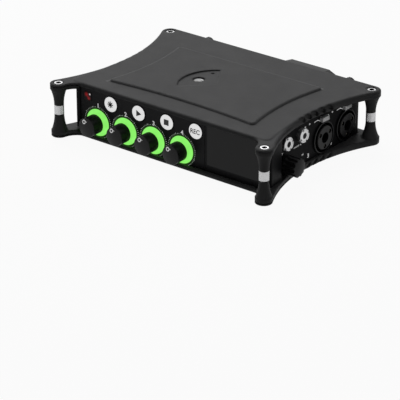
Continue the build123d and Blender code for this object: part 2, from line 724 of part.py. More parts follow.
def fluted_knob():
    """The headphone knob: straight, with flutes round its side."""
    shape = knob(PHONE_KNOB_R, PHONE_KNOB_R)
    flute = rod(FLUTE_R, KNOB_GAP + FLUTE_START, KNOB_GAP + KNOB_LEN + 1)
    for i in range(FLUTES):
        shape -= Rot(0, 0, i * 360 / FLUTES) * Pos(PHONE_KNOB_R + FLUTE_OUT, 0, 0) * flute
    return solid(shape)


# ---------- sockets ----------
def combo_barrel():
    """Outer shell of a combination socket, with the groove for the plug's sleeve."""
    shape = rod(BARREL_R, -BARREL_DEPTH, BARREL_PROUD)
    shape = fillet(shape.edges().filter_by(GeomType.CIRCLE).sort_by(Axis.Z)[-1], BARREL_ROUND)
    shape -= rod(GROOVE_R, -GROOVE_DEPTH, BARREL_PROUD + 1)
    return solid(shape - rod(PLUG_R + PRESS_FIT, -BARREL_DEPTH - 1, BARREL_PROUD + 1))


def combo_plug():
    """Middle of a combination socket: jack hole and three pin holes."""
    board = -(SIDE_X - BOARD_X)
    shape = rod(PLUG_R, board, PLUG_PROUD)
    shape = fillet(shape.edges().filter_by(GeomType.CIRCLE).sort_by(Axis.Z)[-1], PLUG_ROUND)
    shape -= rod(JACK_R, board + 1, PLUG_PROUD + 1)
    for angle in PIN_ANGLES:
        offset = Pos(PIN_PCD / 2 * cos(radians(angle)), PIN_PCD / 2 * sin(radians(angle)), 0)
        shape -= offset * rod(PIN_R, PLUG_PROUD - PIN_DEPTH, PLUG_PROUD + 1)
    return solid(shape)


def latch_tab():
    """Release tab above a combination socket, with a stop behind the panel."""
    tab = Pos(0, 0, (TAB_PROUD - TAB_DEPTH) / 2) * Box(TAB_W, TAB_H, TAB_PROUD + TAB_DEPTH)
    tab = chamfer(tab.edges().group_by(Axis.Z)[-1], TAB_BEVEL)
    stop = Pos(0, 0, -TAB_DEPTH + 0.5) * Box(TAB_W + 2, TAB_H, 1)
    return solid(tab + stop)


def mini_nut():
    """Slotted ring nut of a 3.5 mm jack."""
    shape = rod(MINI_NUT_R, 0, MINI_NUT_H)
    shape = chamfer(shape.edges().filter_by(GeomType.CIRCLE).sort_by(Axis.Z)[-1], MINI_NUT_BEVEL)
    shape -= rod(MINI_SLEEVE_R + PRESS_FIT, -1, MINI_NUT_H + 1)
    slot = Pos(0, 0, MINI_NUT_H) * Box(3 * MINI_NUT_R, MINI_SLOT_W, 2 * MINI_SLOT_DEPTH)
    for angle in (0, 90):
        shape -= Rot(0, 0, angle) * slot
    return solid(shape)


def mini_jack():
    """3.5 mm jack: square body behind the panel and a threaded sleeve through it."""
    middle = -PANEL_T - MINI_DEPTH / 2
    shape = Pos(0, 0, middle) * Box(MINI_BODY_W, MINI_BODY_W, MINI_DEPTH)
    shape += rod(MINI_SLEEVE_R, -PANEL_T, MINI_NUT_H - MINI_SLEEVE_SINK)
    return solid(shape - rod(MINI_BORE_R, -PANEL_T - MINI_DEPTH + 1, MINI_NUT_H + 1))


def side_panel_blank(sign):
    """Side panel with the holes that both sides share: two sockets and their latch slots."""
    low, high = sorted((sign * (SIDE_X - PANEL_T), sign * SIDE_X))
    shape = box((low, high), (-PILLAR_END_Y, SIDE_REAR_Y), (FLOOR_Z, ROOF_Z))
    for y in COMBO_Y:
        shape -= side(sign, y, COMBO_Z) * rod(BARREL_R + PRESS_FIT, -PANEL_T - 1, 1)
        shape -= side(sign, y, TAB_Z) * Box(TAB_W + 2 * GAP, TAB_H + 2 * GAP, 3 * PANEL_T)
    return shape


def right_panel():
    """Right panel: sockets, two jacks and the headphone knob's bush."""
    shape = side_panel_blank(1)
    for y in MINI_Y:
        shape -= side(1, y, MINI_Z) * rod(MINI_SLEEVE_R + PRESS_FIT, -PANEL_T - 1, 1)
    return solid(shape - side(1, PHONE_Y, PHONE_Z) * rod(BUSH_R + PRESS_FIT, -PANEL_T - 1, 1))


def port_hole(port):
    """Cutter for a port's hole in the left panel."""
    y, z, width, height = port
    return side(-1, y, z) * Box(width + 2 * PRESS_FIT, height + 2 * PRESS_FIT, 3 * PANEL_T)


def left_panel():
    """Left panel: sockets, three ports and the power switch's slot."""
    shape = side_panel_blank(-1)
    for port in (USBC, HDMI, USBA):
        shape -= port_hole(port)
    slot_w = SLIDER_W + SLIDER_TRAVEL + 2 * GAP
    slot = Pos(SLIDER_TRAVEL / 2, 0, 0) * Box(slot_w, SLIDER_H + 2 * GAP, 3 * PANEL_T)
    return solid(shape - side(-1, SWITCH_Y, SWITCH_Z) * slot)


def port(size, corner, tongue):
    """Metal port: a rounded tube, closed behind, with a contact tongue."""
    y, z, width, height = size
    middle = (PORT_PROUD - PORT_DEPTH) / 2
    shape = Pos(0, 0, middle) * Box(width, height, PORT_PROUD + PORT_DEPTH)
    shape = fillet(shape.edges().filter_by(Axis.Z), corner)
    inside = Pos(0, 0, 1) * Box(width - 2 * PORT_WALL, height - 2 * PORT_WALL, PORT_DEPTH)
    inside = fillet(inside.edges().filter_by(Axis.Z), corner - PORT_WALL)
    shape -= Pos(0, 0, PORT_PROUD - PORT_DEPTH / 2) * inside
    blade = Pos(0, tongue[2], -PORT_DEPTH / 2 - 0.5) * Box(tongue[0], tongue[1], PORT_DEPTH - 1)
    return side(-1, y, z) * solid(shape + blade)


def power_slider():
    """Sliding actuator of the power switch, with its flange behind the panel."""
    high, low = SLIDER_PROUD, -PANEL_T - GAP
    shape = Pos(0, 0, (high + low) / 2) * Box(SLIDER_W, SLIDER_H, high - low)
    shape = fillet(shape.edges().group_by(Axis.Z)[-1], 0.5)
    flange = Box(SLIDER_W + SLIDER_FLANGE, SLIDER_H + SLIDER_FLANGE, SLIDER_T)
    return side(-1, SWITCH_Y, SWITCH_Z) * solid(shape + Pos(0, 0, low - SLIDER_T / 2) * flange)


def power_switch():
    """Body of the power switch: a tray that the slider runs over."""
    high = -PANEL_T
    width = SLIDER_W + SLIDER_FLANGE + SLIDER_TRAVEL + 2 * POWER_BODY_WALL
    height = SLIDER_H + SLIDER_FLANGE + 2 * POWER_BODY_WALL
    middle = Pos(SLIDER_TRAVEL / 2, 0, high - POWER_BODY_DEPTH / 2)
    shape = middle * Box(width, height, POWER_BODY_DEPTH)
    room = SLIDER_T + 2 * GAP
    inside = Pos(SLIDER_TRAVEL / 2, 0, high - room / 2) * Box(width - 2, height - 2, room)
    return side(-1, SWITCH_Y, SWITCH_Z) * solid(shape - inside)


# ---------- boards ----------
def control_board():
    """Board behind the potentiometers, which also carries the button switches."""
    y = -FRONT_Y + PANEL_T + POT_DEPTH
    x = SIDE_X - PANEL_T - FRAME_T - GAP
    return box((-x, x), (y, y + BOARD_T), (HEIGHT - EDGE_Z, EDGE_Z))


def main_board():
    """Main board with its larger chips and screw holes."""
    shape = box((-MAIN_X, MAIN_X), MAIN_Y, (MAIN_Z, MAIN_Z + BOARD_T))
    for x, y, length, width in CHIPS:
        shape += Pos(x, y, MAIN_Z + BOARD_T + CHIP_H / 2) * Box(length, width, CHIP_H)
    for x, y in board_bosses():
        shape -= Pos(x, y, 0) * rod(BOARD_SCREW_R + SCREW_CLEAR, MAIN_Z - 1, MAIN_Z + BOARD_T + 1)
    return solid(shape)


def board_screw():
    """Screw that holds the main board to its boss."""
    top = MAIN_Z + BOARD_T
    return rod(BOARD_HEAD_R, top, top + BOARD_HEAD_H) + rod(BOARD_SCREW_R, FLOOR_Z + 1, top)


def side_board(sign):
    """Upright board behind the two combination sockets of one side."""
    low, high = sorted((sign * (BOARD_X - BOARD_T), sign * BOARD_X))
    y_low = COMBO_Y[0] - BARREL_R - 1
    return box((low, high), (y_low, SIDE_REAR_Y - 1), (HEIGHT - EDGE_Z, EDGE_Z))


# ---------- battery bay and sled ----------
def battery_bay():
    """Rear panel bent forward round the sled, with bosses for the thumb screws and the card slot."""
    inner = SIDE_X - PANEL_T - FRAME_T
    outer_x, front_y = BAY_X + BAY_WALL, BAY_FRONT_Y - BAY_WALL
    wings = box((-inner, inner), (REAR_Y - PANEL_T, REAR_Y), (FLOOR_Z, ROOF_Z))
    hood = box((-outer_x, outer_x), (front_y, REAR_Y), (FLOOR_Z, ROOF_Z))
    shape = wings + hood
    for sign in (-1, 1):
        shape += thumb_boss(sign)
    shape -= box((-BAY_X, BAY_X), (BAY_FRONT_Y, REAR_Y + 1), (FLOOR_Z - 1, ROOF_Z + 1))
    for sign in (-1, 1):
        shape -= thumb_axis(sign) * rod(THUMB_SHANK_R + RUN_FIT, -PANEL_T - THUMB_BOSS_LEN - 1, 1)
    slot = box((CARD_X - CARD_SLOT_T / 2, CARD_X + CARD_SLOT_T / 2), (REAR_Y - PANEL_T - 1, REAR_Y + 1),
               (MID_Z - CARD_W / 2, MID_Z + CARD_W / 2))
    return solid(shape - slot)


def thumb_axis(sign):
    """Local frame on a thumb screw's axis at the rear panel's face: Z points to the rear."""
    return Plane((sign * THUMB_X, REAR_Y, THUMB_Z), x_dir=(-1, 0, 0), z_dir=(0, 1, 0)).location


def thumb_boss(sign):
    """Boss behind the rear panel that holds a thumb screw."""
    return thumb_axis(sign) * rod(THUMB_BOSS_R, -PANEL_T - THUMB_BOSS_LEN, -PANEL_T)


def card_slot():
    """Memory card socket standing on edge behind the rear panel."""
    y_high = REAR_Y - PANEL_T
    half = CARD_W / 2 + CARD_RIM
    shape = box((CARD_X - CARD_T / 2, CARD_X + CARD_T / 2), (y_high - CARD_DEPTH, y_high),
                (MID_Z - half, MID_Z + half))
    slot = box((CARD_X - CARD_SLOT_T / 2, CARD_X + CARD_SLOT_T / 2),
               (y_high - CARD_DEPTH + BAY_WALL, y_high + 1), (MID_Z - CARD_W / 2, MID_Z + CARD_W / 2))
    return solid(shape - slot)


def cell_places():
    """Axes of the four cells, two high and two deep."""
    return [(y, z) for y in CELL_Y for z in (MID_Z - CELL_PITCH / 2, MID_Z + CELL_PITCH / 2)]


def cells():
    """Four cells, laid head to tail, each with its raised end."""
    shoulder = CELL_LEN / 2 - CELL_NUB_H
    can = rod(CELL_R, -CELL_LEN / 2, shoulder)
    can = fillet(can.edges().filter_by(GeomType.CIRCLE), CELL_NUB_H / 2)
    cell = solid(can + rod(CELL_NUB_R, 0, CELL_LEN / 2))
    turns = (-90, 90, 90, -90)
    return [Pos(0, y, z) * Rot(0, turn, 0) * cell for (y, z), turn in zip(cell_places(), turns)]


def sled_contacts():
    """Contact plates at both ends of each cell, against the tray's walls."""
    wall = BAY_X - SLED_GAP - TRAY_WALL
    shapes = []
    for sign in (-1, 1):
        for y, z in cell_places():
            low, high = sorted((sign * CELL_LEN / 2, sign * wall))
            spring = Pos((low + high) / 2, y, z) * Box(high - low, 2 * SPRING_HALF, 2 * SPRING_HALF)
            plate_x = sign * (wall - CONTACT_T / 2)
            plate = Pos(plate_x, y, z) * Box(CONTACT_T, 2 * CONTACT_HALF, 2 * CONTACT_HALF)
            shapes.append(solid(spring + plate))
    return shapes


def battery_sled():
    """Sled: back plate with the raised block and hump, and the open tray for the cells."""
    plate = extrude(RectangleRounded(2 * SLED_X, HEIGHT - 2 * SLED_MARGIN, SLED_CORNER_R), SLED_T)
    rear = Plane((0, SLED_Y, MID_Z), x_dir=(-1, 0, 0), z_dir=(0, 1, 0)).location
    shape = rear * plate
    block = Pos(0, 0, BLOCK_T / 2) * Box(2 * BLOCK_X, HEIGHT - 2 * BLOCK_MARGIN, BLOCK_T)
    block = fillet(block.edges().group_by(Axis.Z)[-1], BLOCK_ROUND)
    shape += rear * block
    shape += hump()
    wall_out = BAY_X - SLED_GAP
    tray_y = BAY_FRONT_Y + SLED_GAP
    tray_z = (FLOOR_Z + SLED_GAP, ROOF_Z - SLED_GAP)
    shape += box((-wall_out, wall_out), (tray_y, SLED_Y + 1), tray_z)
    inside = wall_out - TRAY_WALL
    shape -= box((-inside, inside), (tray_y + TRAY_WALL, SLED_Y), (FLOOR_Z - 1, ROOF_Z + 1))
    shape -= cell_room(inside)
    for sign in (-1, 1):
        hole = rod(THUMB_SHANK_R + THUMB_HOLE_CLEAR, 0, SLED_Y + SLED_T + 1 - REAR_Y)
        shape -= thumb_axis(sign) * hole
    return solid(shape)


def cell_room(half):
    """Cutter for the cells, a little larger than they are."""
    cutter = Part()
    for y, z in cell_places():
        cutter += Pos(0, y, z) * Rot(0, 90, 0) * rod(CELL_R + CELL_CLEAR, -half, half)
    return cutter


def hump():
    """Raised part of the sled's upper edge, sloping down at both ends."""
    low_x, high_x = HUMP_X
    base = HEIGHT - BLOCK_MARGIN - BLOCK_ROUND
    top = HEIGHT - HUMP_DROP
    foot = (base + top) / 2
    face = make_face(Polyline([
        (low_x, base), (low_x + 1, foot), (low_x + HUMP_SLOPE, top), (high_x - HUMP_SLOPE, top),
        (high_x - 1, foot), (high_x, base), (low_x, base)]))
    face = fillet(face.vertices().group_by(Axis.Y)[-1], HUMP_ROUND)
    return Pos(0, SLED_Y, 0) * extrude(Plane.XZ * face, -BLOCK_T)


def thumb_screw(sign):
    """Captive thumb screw with a ribbed head."""
    low = SLED_Y + SLED_T + GAP - REAR_Y
    head = rod(THUMB_R, low, low + THUMB_H)
    head = chamfer(head.edges().filter_by(GeomType.CIRCLE), THUMB_BEVEL)
    groove = Pos(THUMB_R + THUMB_GROOVE_OUT, 0, 0) * rod(THUMB_GROOVE_R, low - 1, low + THUMB_H + 1)
    for i in range(THUMB_RIBS):
        head -= Rot(0, 0, i * 360 / THUMB_RIBS) * groove
    shank = rod(THUMB_SHANK_R, -PANEL_T - THUMB_BOSS_LEN, low + 1)
    return thumb_axis(sign) * solid(head + shank)


# ---------- write the nodes ----------
def at_front(shape):
    """A shape at each of the four channels."""
    return [front(x, CHANNEL_Z) * shape for x in ring_places()]


def at_combos(shape):
    """A shape at each of the four combination sockets."""
    return [side(sign, y, COMBO_Z) * shape for sign in (-1, 1) for y in COMBO_Y]


def main():
    """Build every node and write it to parts/."""
    save("top_shell", top_shell())
    save("bottom_shell", bottom_shell())
    save("corner_screws", *[Pos(x, y, 0) * corner_screw() for x, y in POSTS])
    save("post_collars", *[Pos(x, y, 0) * collar() for x, y in POSTS])
    insert = Pos(THREAD_X, THREAD_Y, 0) * thread_insert()
    save("thread_inserts", insert, mirror(insert, about=Plane.XY.offset(MID_Z)))
    frame = side_frame()
    save("side_frames", frame, mirror(frame, about=Plane.YZ))
    save("front_panel", front_panel())
    save("right_panel", right_panel())
    save("left_panel", left_panel())
    save("light_rings", *at_front(light_ring()))
    save("led_window", led_window())
    save("screen_glass", screen_glass())
    save("display_module", display_module())

    phone = side(1, PHONE_Y, PHONE_Z)
    for i, x in enumerate(ring_places()):
        save(f"channel_knob_{i + 1}", front(x, CHANNEL_Z) * knob(KNOB_BACK_R, KNOB_R))
        save(f"knob_shaft_{i + 1}", front(x, CHANNEL_Z) * shaft())
        save(f"push_plunger_{i + 1}", front(x, CHANNEL_Z) * plunger())
        place = front(x + BUTTON_SHIFT, BUTTON_Z)
        save(BUTTON_NAMES[i], place * button())
    save("headphone_knob", phone * fluted_knob())
    save("headphone_shaft", phone * shaft())
    save("headphone_plunger", phone * plunger())
    save("potentiometers", *at_front(pot()), phone * pot())
    save("tact_switches", *[front(x + BUTTON_SHIFT, BUTTON_Z) * tact_switch() for x in ring_places()])

    save("combo_barrels", *at_combos(combo_barrel()))
    save("combo_inserts", *at_combos(combo_plug()))
    tabs = [(sign, y) for sign in (-1, 1) for y in COMBO_Y]
    for i, (sign, y) in enumerate(tabs):
        save(f"latch_tab_{i + 1}", side(sign, y, TAB_Z) * latch_tab())
    save("jack_nuts", *[side(1, y, MINI_Z) * mini_nut() for y in MINI_Y])
    save("jack_sockets", *[side(1, y, MINI_Z) * mini_jack() for y in MINI_Y])
    save("usb_c_port", port(USBC, USBC_CORNER, USBC_TONGUE))
    save("usb_a_port", port(USBA, USBA_CORNER, USBA_TONGUE))
    save("hdmi_port", port(HDMI, HDMI_CORNER, HDMI_TONGUE))
    save("power_slider", power_slider())
    save("power_switch", power_switch())

    save("control_board", control_board())
    save("main_board", main_board())
    save("board_screws", *[Pos(x, y, 0) * board_screw() for x, y in board_bosses()])
    save("right_board", side_board(1))
    save("left_board", side_board(-1))
    save("battery_bay", battery_bay())
    save("card_slot", card_slot())
    save("battery_sled", battery_sled())
    save("battery_cells", *cells())
    save("sled_contacts", *sled_contacts())
    save("thumb_screw_left", thumb_screw(-1))
    save("thumb_screw_right", thumb_screw(1))


main()
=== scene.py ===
"""Finish and fine detail of a portable field recorder, built over its packed frame."""
import functools
import math

import bmesh
import bpy
import numpy as np
from bpy.props import FloatProperty, FloatVectorProperty, IntProperty, PointerProperty
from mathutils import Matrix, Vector


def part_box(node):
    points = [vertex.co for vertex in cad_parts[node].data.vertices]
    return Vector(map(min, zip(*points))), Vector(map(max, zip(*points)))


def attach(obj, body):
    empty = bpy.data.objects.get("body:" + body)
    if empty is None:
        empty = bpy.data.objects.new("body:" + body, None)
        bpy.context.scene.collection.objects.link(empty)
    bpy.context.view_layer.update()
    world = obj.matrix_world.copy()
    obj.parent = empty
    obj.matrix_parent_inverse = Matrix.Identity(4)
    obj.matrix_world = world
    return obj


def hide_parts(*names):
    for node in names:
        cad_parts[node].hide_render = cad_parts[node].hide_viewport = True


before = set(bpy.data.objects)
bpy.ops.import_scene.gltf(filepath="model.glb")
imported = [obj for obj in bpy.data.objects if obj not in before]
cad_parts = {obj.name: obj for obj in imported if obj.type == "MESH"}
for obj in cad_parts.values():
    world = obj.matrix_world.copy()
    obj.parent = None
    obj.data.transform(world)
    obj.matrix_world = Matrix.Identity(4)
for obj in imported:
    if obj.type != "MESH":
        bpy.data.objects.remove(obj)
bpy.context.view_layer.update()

bl_info = {
    "name": "Field Recorder",
    "version": (1, 0, 0),
    "blender": (4, 5, 0),
    "location": "View3D > Sidebar > Recorder",
    "description": "Controls, sockets, printing and finishes of a portable field recorder",
    "category": "Add Mesh",
}

MM = 0.001
AROUND = 96                         # steps round a turned piece
CHANNELS = range(1, 5)              # numbers of the channels, their knobs and their sockets
SIDES = {"left": (-1, (1, 2)), "right": (1, (3, 4))}    # each side's sign, and the numbers of its sockets
PRINT = (-0.02 * MM, 0.03 * MM)     # printing runs from just under its face to just over it


def span(node):
    """Lowest corner, highest corner and centre of a CAD node, as arrays in metres."""
    low, high = (np.array(corner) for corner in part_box(node))
    return low, high, (low + high) / 2


FRONT_Y = span("front_panel")[0][1]
RIGHT_X = span("right_panel")[1][0]
LEFT_X = span("left_panel")[0][0]
TOP_Z = span("top_shell")[1][2]
EAR_Z = span("corner_screws")[1][2]
# Where the cover coat's painted highlight bands and its painted shade on the front lips lie:
PAD_REAR, PAD_CORNER = 34.0 * MM, 53.0 * MM             # the pads' rear side, and where it ends
PAD_CENTRE, PAD_ARC = (-184.5 * MM, 0.5 * MM, 0.0), 135.7 * MM      # circle of the pads' left side
LIP_END = 62.0 * MM                                     # end of the covers' front lips, either way

# Each face of the case: a point on it, then the directions across, up and out of it.
FACES = {
    "front": np.array([(0, FRONT_Y, 0), (1, 0, 0), (0, 0, 1), (0, -1, 0)], float),
    "right": np.array([(RIGHT_X, 0, 0), (0, 1, 0), (0, 0, 1), (1, 0, 0)], float),
    "left": np.array([(LEFT_X, 0, 0), (0, -1, 0), (0, 0, 1), (-1, 0, 0)], float),
    "top": np.array([(0, 0, TOP_Z), (1, 0, 0), (0, 1, 0), (0, 0, 1)], float),
    "bottom": np.array([(0, 0, 0), (-1, 0, 0), (0, 1, 0), (0, 0, -1)], float),
    "upright": np.array([(0, 0, 0), (1, 0, 0), (0, 1, 0), (0, 0, 1)], float),
}


def knob_place(number):
    """Across and up of a channel's axis on the front face."""
    return span(f"channel_knob_{number}")[2][[0, 2]]


def numbered(stem):
    """Names of the four nodes of one kind."""
    return [f"{stem}_{number}" for number in CHANNELS]


# ---------- sizes and colours ----------
def length(name, description, default):
    """A length, its default given in millimetres."""
    return FloatProperty(name=name, description=description, default=default * MM, unit="LENGTH", precision=5)


def colour(name, description, default):
    return FloatVectorProperty(name=name, description=description, default=default, subtype="COLOR",
                               size=3, min=0.0, max=1.0)


class RecorderFinishes(bpy.types.PropertyGroup):
    """Colours of the case and its parts."""

    coat: colour("Coat", "Matt coat of the covers", (0.047, 0.047, 0.048))
    panel: colour("Front panel", "Paint of the front panel", (0.013, 0.013, 0.014))
    # Side panels and frames: near-black paint set darker than the front panel's, partly their own black and
    # partly painted shade that darkens the sides.
    side: colour("Side panels", "Paint of both side panels", (0.005, 0.005, 0.0055))
    frames: colour("Frames", "Side frames under the covers", (0.006, 0.006, 0.0065))
    knob: colour("Knobs", "Rubber of the knobs", (0.006, 0.006, 0.0065))
    socket: colour("Sockets", "Plastic of the sockets", (0.0045, 0.0045, 0.005))
    silver: colour("Silver", "Collars, screws and jack nuts", (0.53, 0.53, 0.535))
    light: colour("Ring light", "Light of the rings round the knobs", (0.25, 0.86, 0.14))
    button: colour("Buttons", "Caps of the buttons", (0.78, 0.78, 0.78))
    ink: colour("Ink", "White printing", (0.72, 0.72, 0.72))
    window: colour("Window", "Dark red window of the lamps", (0.004, 0.001, 0.001))
    glass: colour("Screen", "Screen while it is off", (0.013, 0.013, 0.014))
    tab: colour("Tabs", "Release tabs of the sockets", (0.72, 0.72, 0.72))


class RecorderControls(bpy.types.PropertyGroup):
    """Sizes of the knobs, rings, buttons and their printing."""

    knob_radius: length("Knob radius", "Radius of a channel knob's rim, before its rounding", 5.8)
    knob_back: length("Knob back", "Radius of a channel knob's back", 4.6)
    knob_flare: length("Knob flare", "Length over which a channel knob widens from its back", 1.1)
    phone_radius: length("Headphone knob radius", "Radius of the headphone knob", 5.7)
    knob_dome: length("Knob dome", "Height of a knob's domed front", 0.7)
    knob_rim: length("Knob rim", "Rounding between a knob's side and its front", 0.5)
    flutes: IntProperty(name="Flutes", description="Flutes of the headphone knob", default=12, min=3)
    flute_radius: length("Flute radius", "Radius of the headphone knob's flutes", 1.1)
    flute_out: length("Flute offset", "Flute axes outside the headphone knob's side", 0.3)
    mark_radius: length("Mark radius", "Outer radius of the ring printed on a knob", 1.3)
    mark_bore: length("Mark bore", "Inner radius of the ring printed on a knob", 0.7)
    mark_reach: length("Mark reach", "Distance from a knob's axis to its printed ring", 3.95)
    mark_turn: FloatProperty(name="Mark angle", description="Clock angle of the printed rings at rest",
                             default=math.radians(-22), subtype="ANGLE")
    ring_radius: length("Ring radius", "Outer radius of a light ring", 8.3)
    ring_bore: length("Ring bore", "Inner radius of a light ring", 3.7)
    tick_radius: length("Scale radius", "Radius of the dotted scale round a ring", 9.7)
    ticks: IntProperty(name="Scale dots", description="Dots of a knob's scale", default=41, min=5)
    numeral: length("Numerals", "Height of the channel numbers", 2.6)
    button_radius: length("Button radius", "Radius of a button with its bezel", 4.9)
    cap_radius: length("Cap radius", "Radius of the white cap inside the bezel", 4.55)


class RecorderSockets(bpy.types.PropertyGroup):
    """Sizes of the metalwork and the sockets."""

    collar_radius: length("Collar radius", "Radius of the collars on the corner posts", 2.95)
    knurls: IntProperty(name="Knurls", description="Diamonds round a collar", default=14, min=8)
    knurl_depth: length("Knurl depth", "Depth of the collars' knurling", 0.3)
    nut_radius: length("Nut radius", "Radius of the small jacks' nuts", 4.15)
    nut_bore: length("Nut bore", "Bore of the small jacks' nuts", 3.22)
    nut_height: length("Nut height", "Height of the small jacks' nuts", 3.2)
    insert_radius: length("Insert radius", "Radius of the tripod inserts in the covers", 3.6)
    thread_radius: length("Thread radius", "Minor radius of the tripod thread", 2.55)
    thread_pitch: length("Thread pitch", "Pitch of the tripod thread", 1.27)


class RecorderStage(bpy.types.PropertyGroup):
    """Lamps, sky and floor."""

    top_power: FloatProperty(name="Top lamp", description="Power of the lamp overhead", default=8.5,
                             unit="POWER")
    front_power: FloatProperty(name="Front lamp", description="Power of the lamp by the camera", default=0.5,
                               unit="POWER")
    sky: FloatProperty(name="Sky", description="Strength of the light all round", default=0.05)
    floor: colour("Floor", "Colour of the floor where the camera sees it", (0.9, 0.9, 0.9))
    bounce: colour("Bounce", "Colour of the floor for the light that it throws back", (0.08, 0.08, 0.08))
    camera: FloatVectorProperty(name="Camera", description="Place of the camera", subtype="TRANSLATION",
                                unit="LENGTH", size=3, default=(0.71426, -0.92303, 0.52025))
    lens: FloatProperty(name="Lens", description="Focal length in millimetres", default=196.37)


def finishes():
    return bpy.context.scene.recorder_finishes


def controls():
    return bpy.context.scene.recorder_controls


def sockets():
    return bpy.context.scene.recorder_sockets


# ---------- surfaces ----------
def placed(face, across, up, out):
    """Point = the face's origin + across, up and out times the face's three directions."""
    origin, right, rise, outward = FACES[face]
    across, up, out = np.broadcast_arrays(across, up, out)
    return origin + across[..., None] * right + up[..., None] * rise + out[..., None] * outward


def grid(points, closed_rows=False, closed_columns=False):
    """Quads between neighbours of an array of points, rows by columns by 3; a closed side joins its ends."""
    index = np.arange(points[..., 0].size).reshape(points.shape[:2])
    if closed_rows:
        index = np.vstack([index, index[:1]])
    if closed_columns:
        index = np.hstack([index, index[:, :1]])
    quads = np.stack([index[:-1, :-1], index[:-1, 1:], index[1:, 1:], index[1:, :-1]], axis=-1)
    return points.reshape(-1, 3), quads.reshape(-1, 4)


def capped(points):
    """A tube of rows round and columns along, closed at both ends by a quad."""
    flat, quads = grid(points, closed_rows=True)
    rows, columns = points.shape[:2]
    first = np.arange(rows) * columns
    return flat, np.vstack([quads, first, first + columns - 1])


def joined(shapes):
    """One pair of points and quads from several."""
    starts = np.cumsum([0] + [len(points) for points, _ in shapes[:-1]])
    points = np.vstack([points for points, _ in shapes])
    return points, np.vstack([quads + start for (_, quads), start in zip(shapes, starts)])


def turned(face, across, up, profile, steps=AROUND, wave=None, start=0.0):
    """A profile of (radius, out) pairs turned about an axis that stands on a face.

    Point = axis + radius * (cos a, sin a), at the profile's height. A wave gives the radius and the height
    from the angle, the radius and the height; the whole is then turned on by the start.
    """
    radius, out = (np.array(column, float)[:, None] for column in zip(*profile))
    angle = np.linspace(0, 2 * np.pi, steps, endpoint=False)[None, :]
    if wave:
        radius, out = wave(angle, radius, out)
    across, up = across + radius * np.cos(angle + start), up + radius * np.sin(angle + start)
    return grid(placed(face, across, up, out), closed_columns=True)


def arc(across, out, radius, start, end, steps):
    """Profile points on a circle, from one angle to another in degrees."""
    angle = np.radians(np.linspace(start, end, steps))
    return list(zip(across + radius * np.cos(angle), out + radius * np.sin(angle)))


def patch(face, centres, width, height, turn, levels=PRINT):
    """Small slabs on a face: each is a rectangle, turned clockwise about its centre, between two levels.

    The widths, heights and turns are one number for all the slabs, or one for each.
    """
    width, height, turn = (np.broadcast_to(value, len(centres))[:, None] for value in (width, height, turn))
    right, rise = np.array([(-1, 1, 1, -1), (-1, -1, 1, 1)]) / 2
    right, rise = right * width, rise * height
    across = centres[:, :1] + right * np.cos(turn) + rise * np.sin(turn)
    up = centres[:, 1:] - right * np.sin(turn) + rise * np.cos(turn)
    points = np.concatenate([placed(face, across, up, level) for level in levels], axis=1)
    sides = np.array([(3, 2, 1, 0), (4, 5, 6, 7), (0, 1, 5, 4), (1, 2, 6, 5), (2, 3, 7, 6), (3, 0, 4, 7)])
    starts = np.arange(len(centres))[:, None, None] * 8
    return points.reshape(-1, 3), (sides[None] + starts).reshape(-1, 4)


def tidied(mesh, crease=20.0):
    """Merges doubles, drops faces of no area, turns the faces outwards and shades them smooth.

    Edges sharper than the crease, in degrees, stay sharp.
    """
    work = bmesh.new()
    work.from_mesh(mesh)
    bmesh.ops.remove_doubles(work, verts=work.verts, dist=1e-7)
    bmesh.ops.dissolve_degenerate(work, edges=work.edges, dist=1e-8)
    bmesh.ops.recalc_face_normals(work, faces=work.faces)
    work.to_mesh(mesh)
    work.free()
    mesh.polygons.foreach_set("use_smooth", np.ones(len(mesh.polygons), bool))
    mesh.set_sharp_from_angle(angle=math.radians(crease))
    mesh.update()
    return mesh


def mesh_of(name, shape, crease):
    """A closed mesh from points and faces; a shape that is a mesh stays as it is."""
    if isinstance(shape, bpy.types.Mesh):
        return shape
    points, faces = shape
    mesh = bpy.data.meshes.new(name)
    mesh.from_pydata(points.tolist(), [], [[int(corner) for corner in face] for face in faces])
    return tidied(mesh, crease)


def merged(name, shapes):
    """One mesh from several shapes."""
    work = bmesh.new()
    for shape in shapes:
        mesh = mesh_of(name, shape, 20.0)
        work.from_mesh(mesh)
        bpy.data.meshes.remove(mesh)
    whole = bpy.data.meshes.new(name)
    work.to_mesh(whole)
    work.free()
    whole.set_sharp_from_angle(angle=math.radians(20.0))
    return whole


def linked(name, data):
    """A new object in the scene."""
    made = bpy.data.objects.new(name, data)
    bpy.context.scene.collection.objects.link(made)
    return made


def piece(name, shape, material, body, replaces=(), crease=35.0):
    """A piece at the origin with its material, riding on a body and standing for CAD nodes."""
    made = linked(name, mesh_of(name, shape, crease))
    made.data.materials.clear()
    made.data.materials.append(material)
    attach(made, body)
    if replaces:
        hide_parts(*replaces)


def lettering(text, face, across, up, height, levels=PRINT, width=None, weight=0.0):
    """Letters as a flat solid on a face, centred on a point, between two levels out of it.

    The height is that of a capital, and the weight thickens the letters, as a share of their size.
    """
    curve = bpy.data.curves.new(text, "FONT")
    curve.body = text
    curve.align_x = curve.align_y = "CENTER"
    curve.size = height / 0.7       # a capital is 0.7 of the type's size
    curve.extrude = (levels[1] - levels[0]) / 2
    curve.offset = weight * curve.size
    curve.resolution_u = 3
    holder = linked(text, curve)
    bpy.context.view_layer.update()
    mesh = bpy.data.meshes.new_from_object(holder.evaluated_get(bpy.context.evaluated_depsgraph_get()))
    bpy.data.objects.remove(holder)
    flat = np.empty(len(mesh.vertices) * 3, np.float32)
    mesh.vertices.foreach_get("co", flat)
    x, y, z = flat.reshape(-1, 3).T.astype(float)
    x, y = (value - (value.max() + value.min()) / 2 for value in (x, y))
    if width:
        x *= width / (x.max() - x.min())
    points = placed(face, across + x, up + y, sum(levels) / 2 + z)
    mesh.vertices.foreach_set("co", points.astype(np.float32).ravel())
    return tidied(mesh)


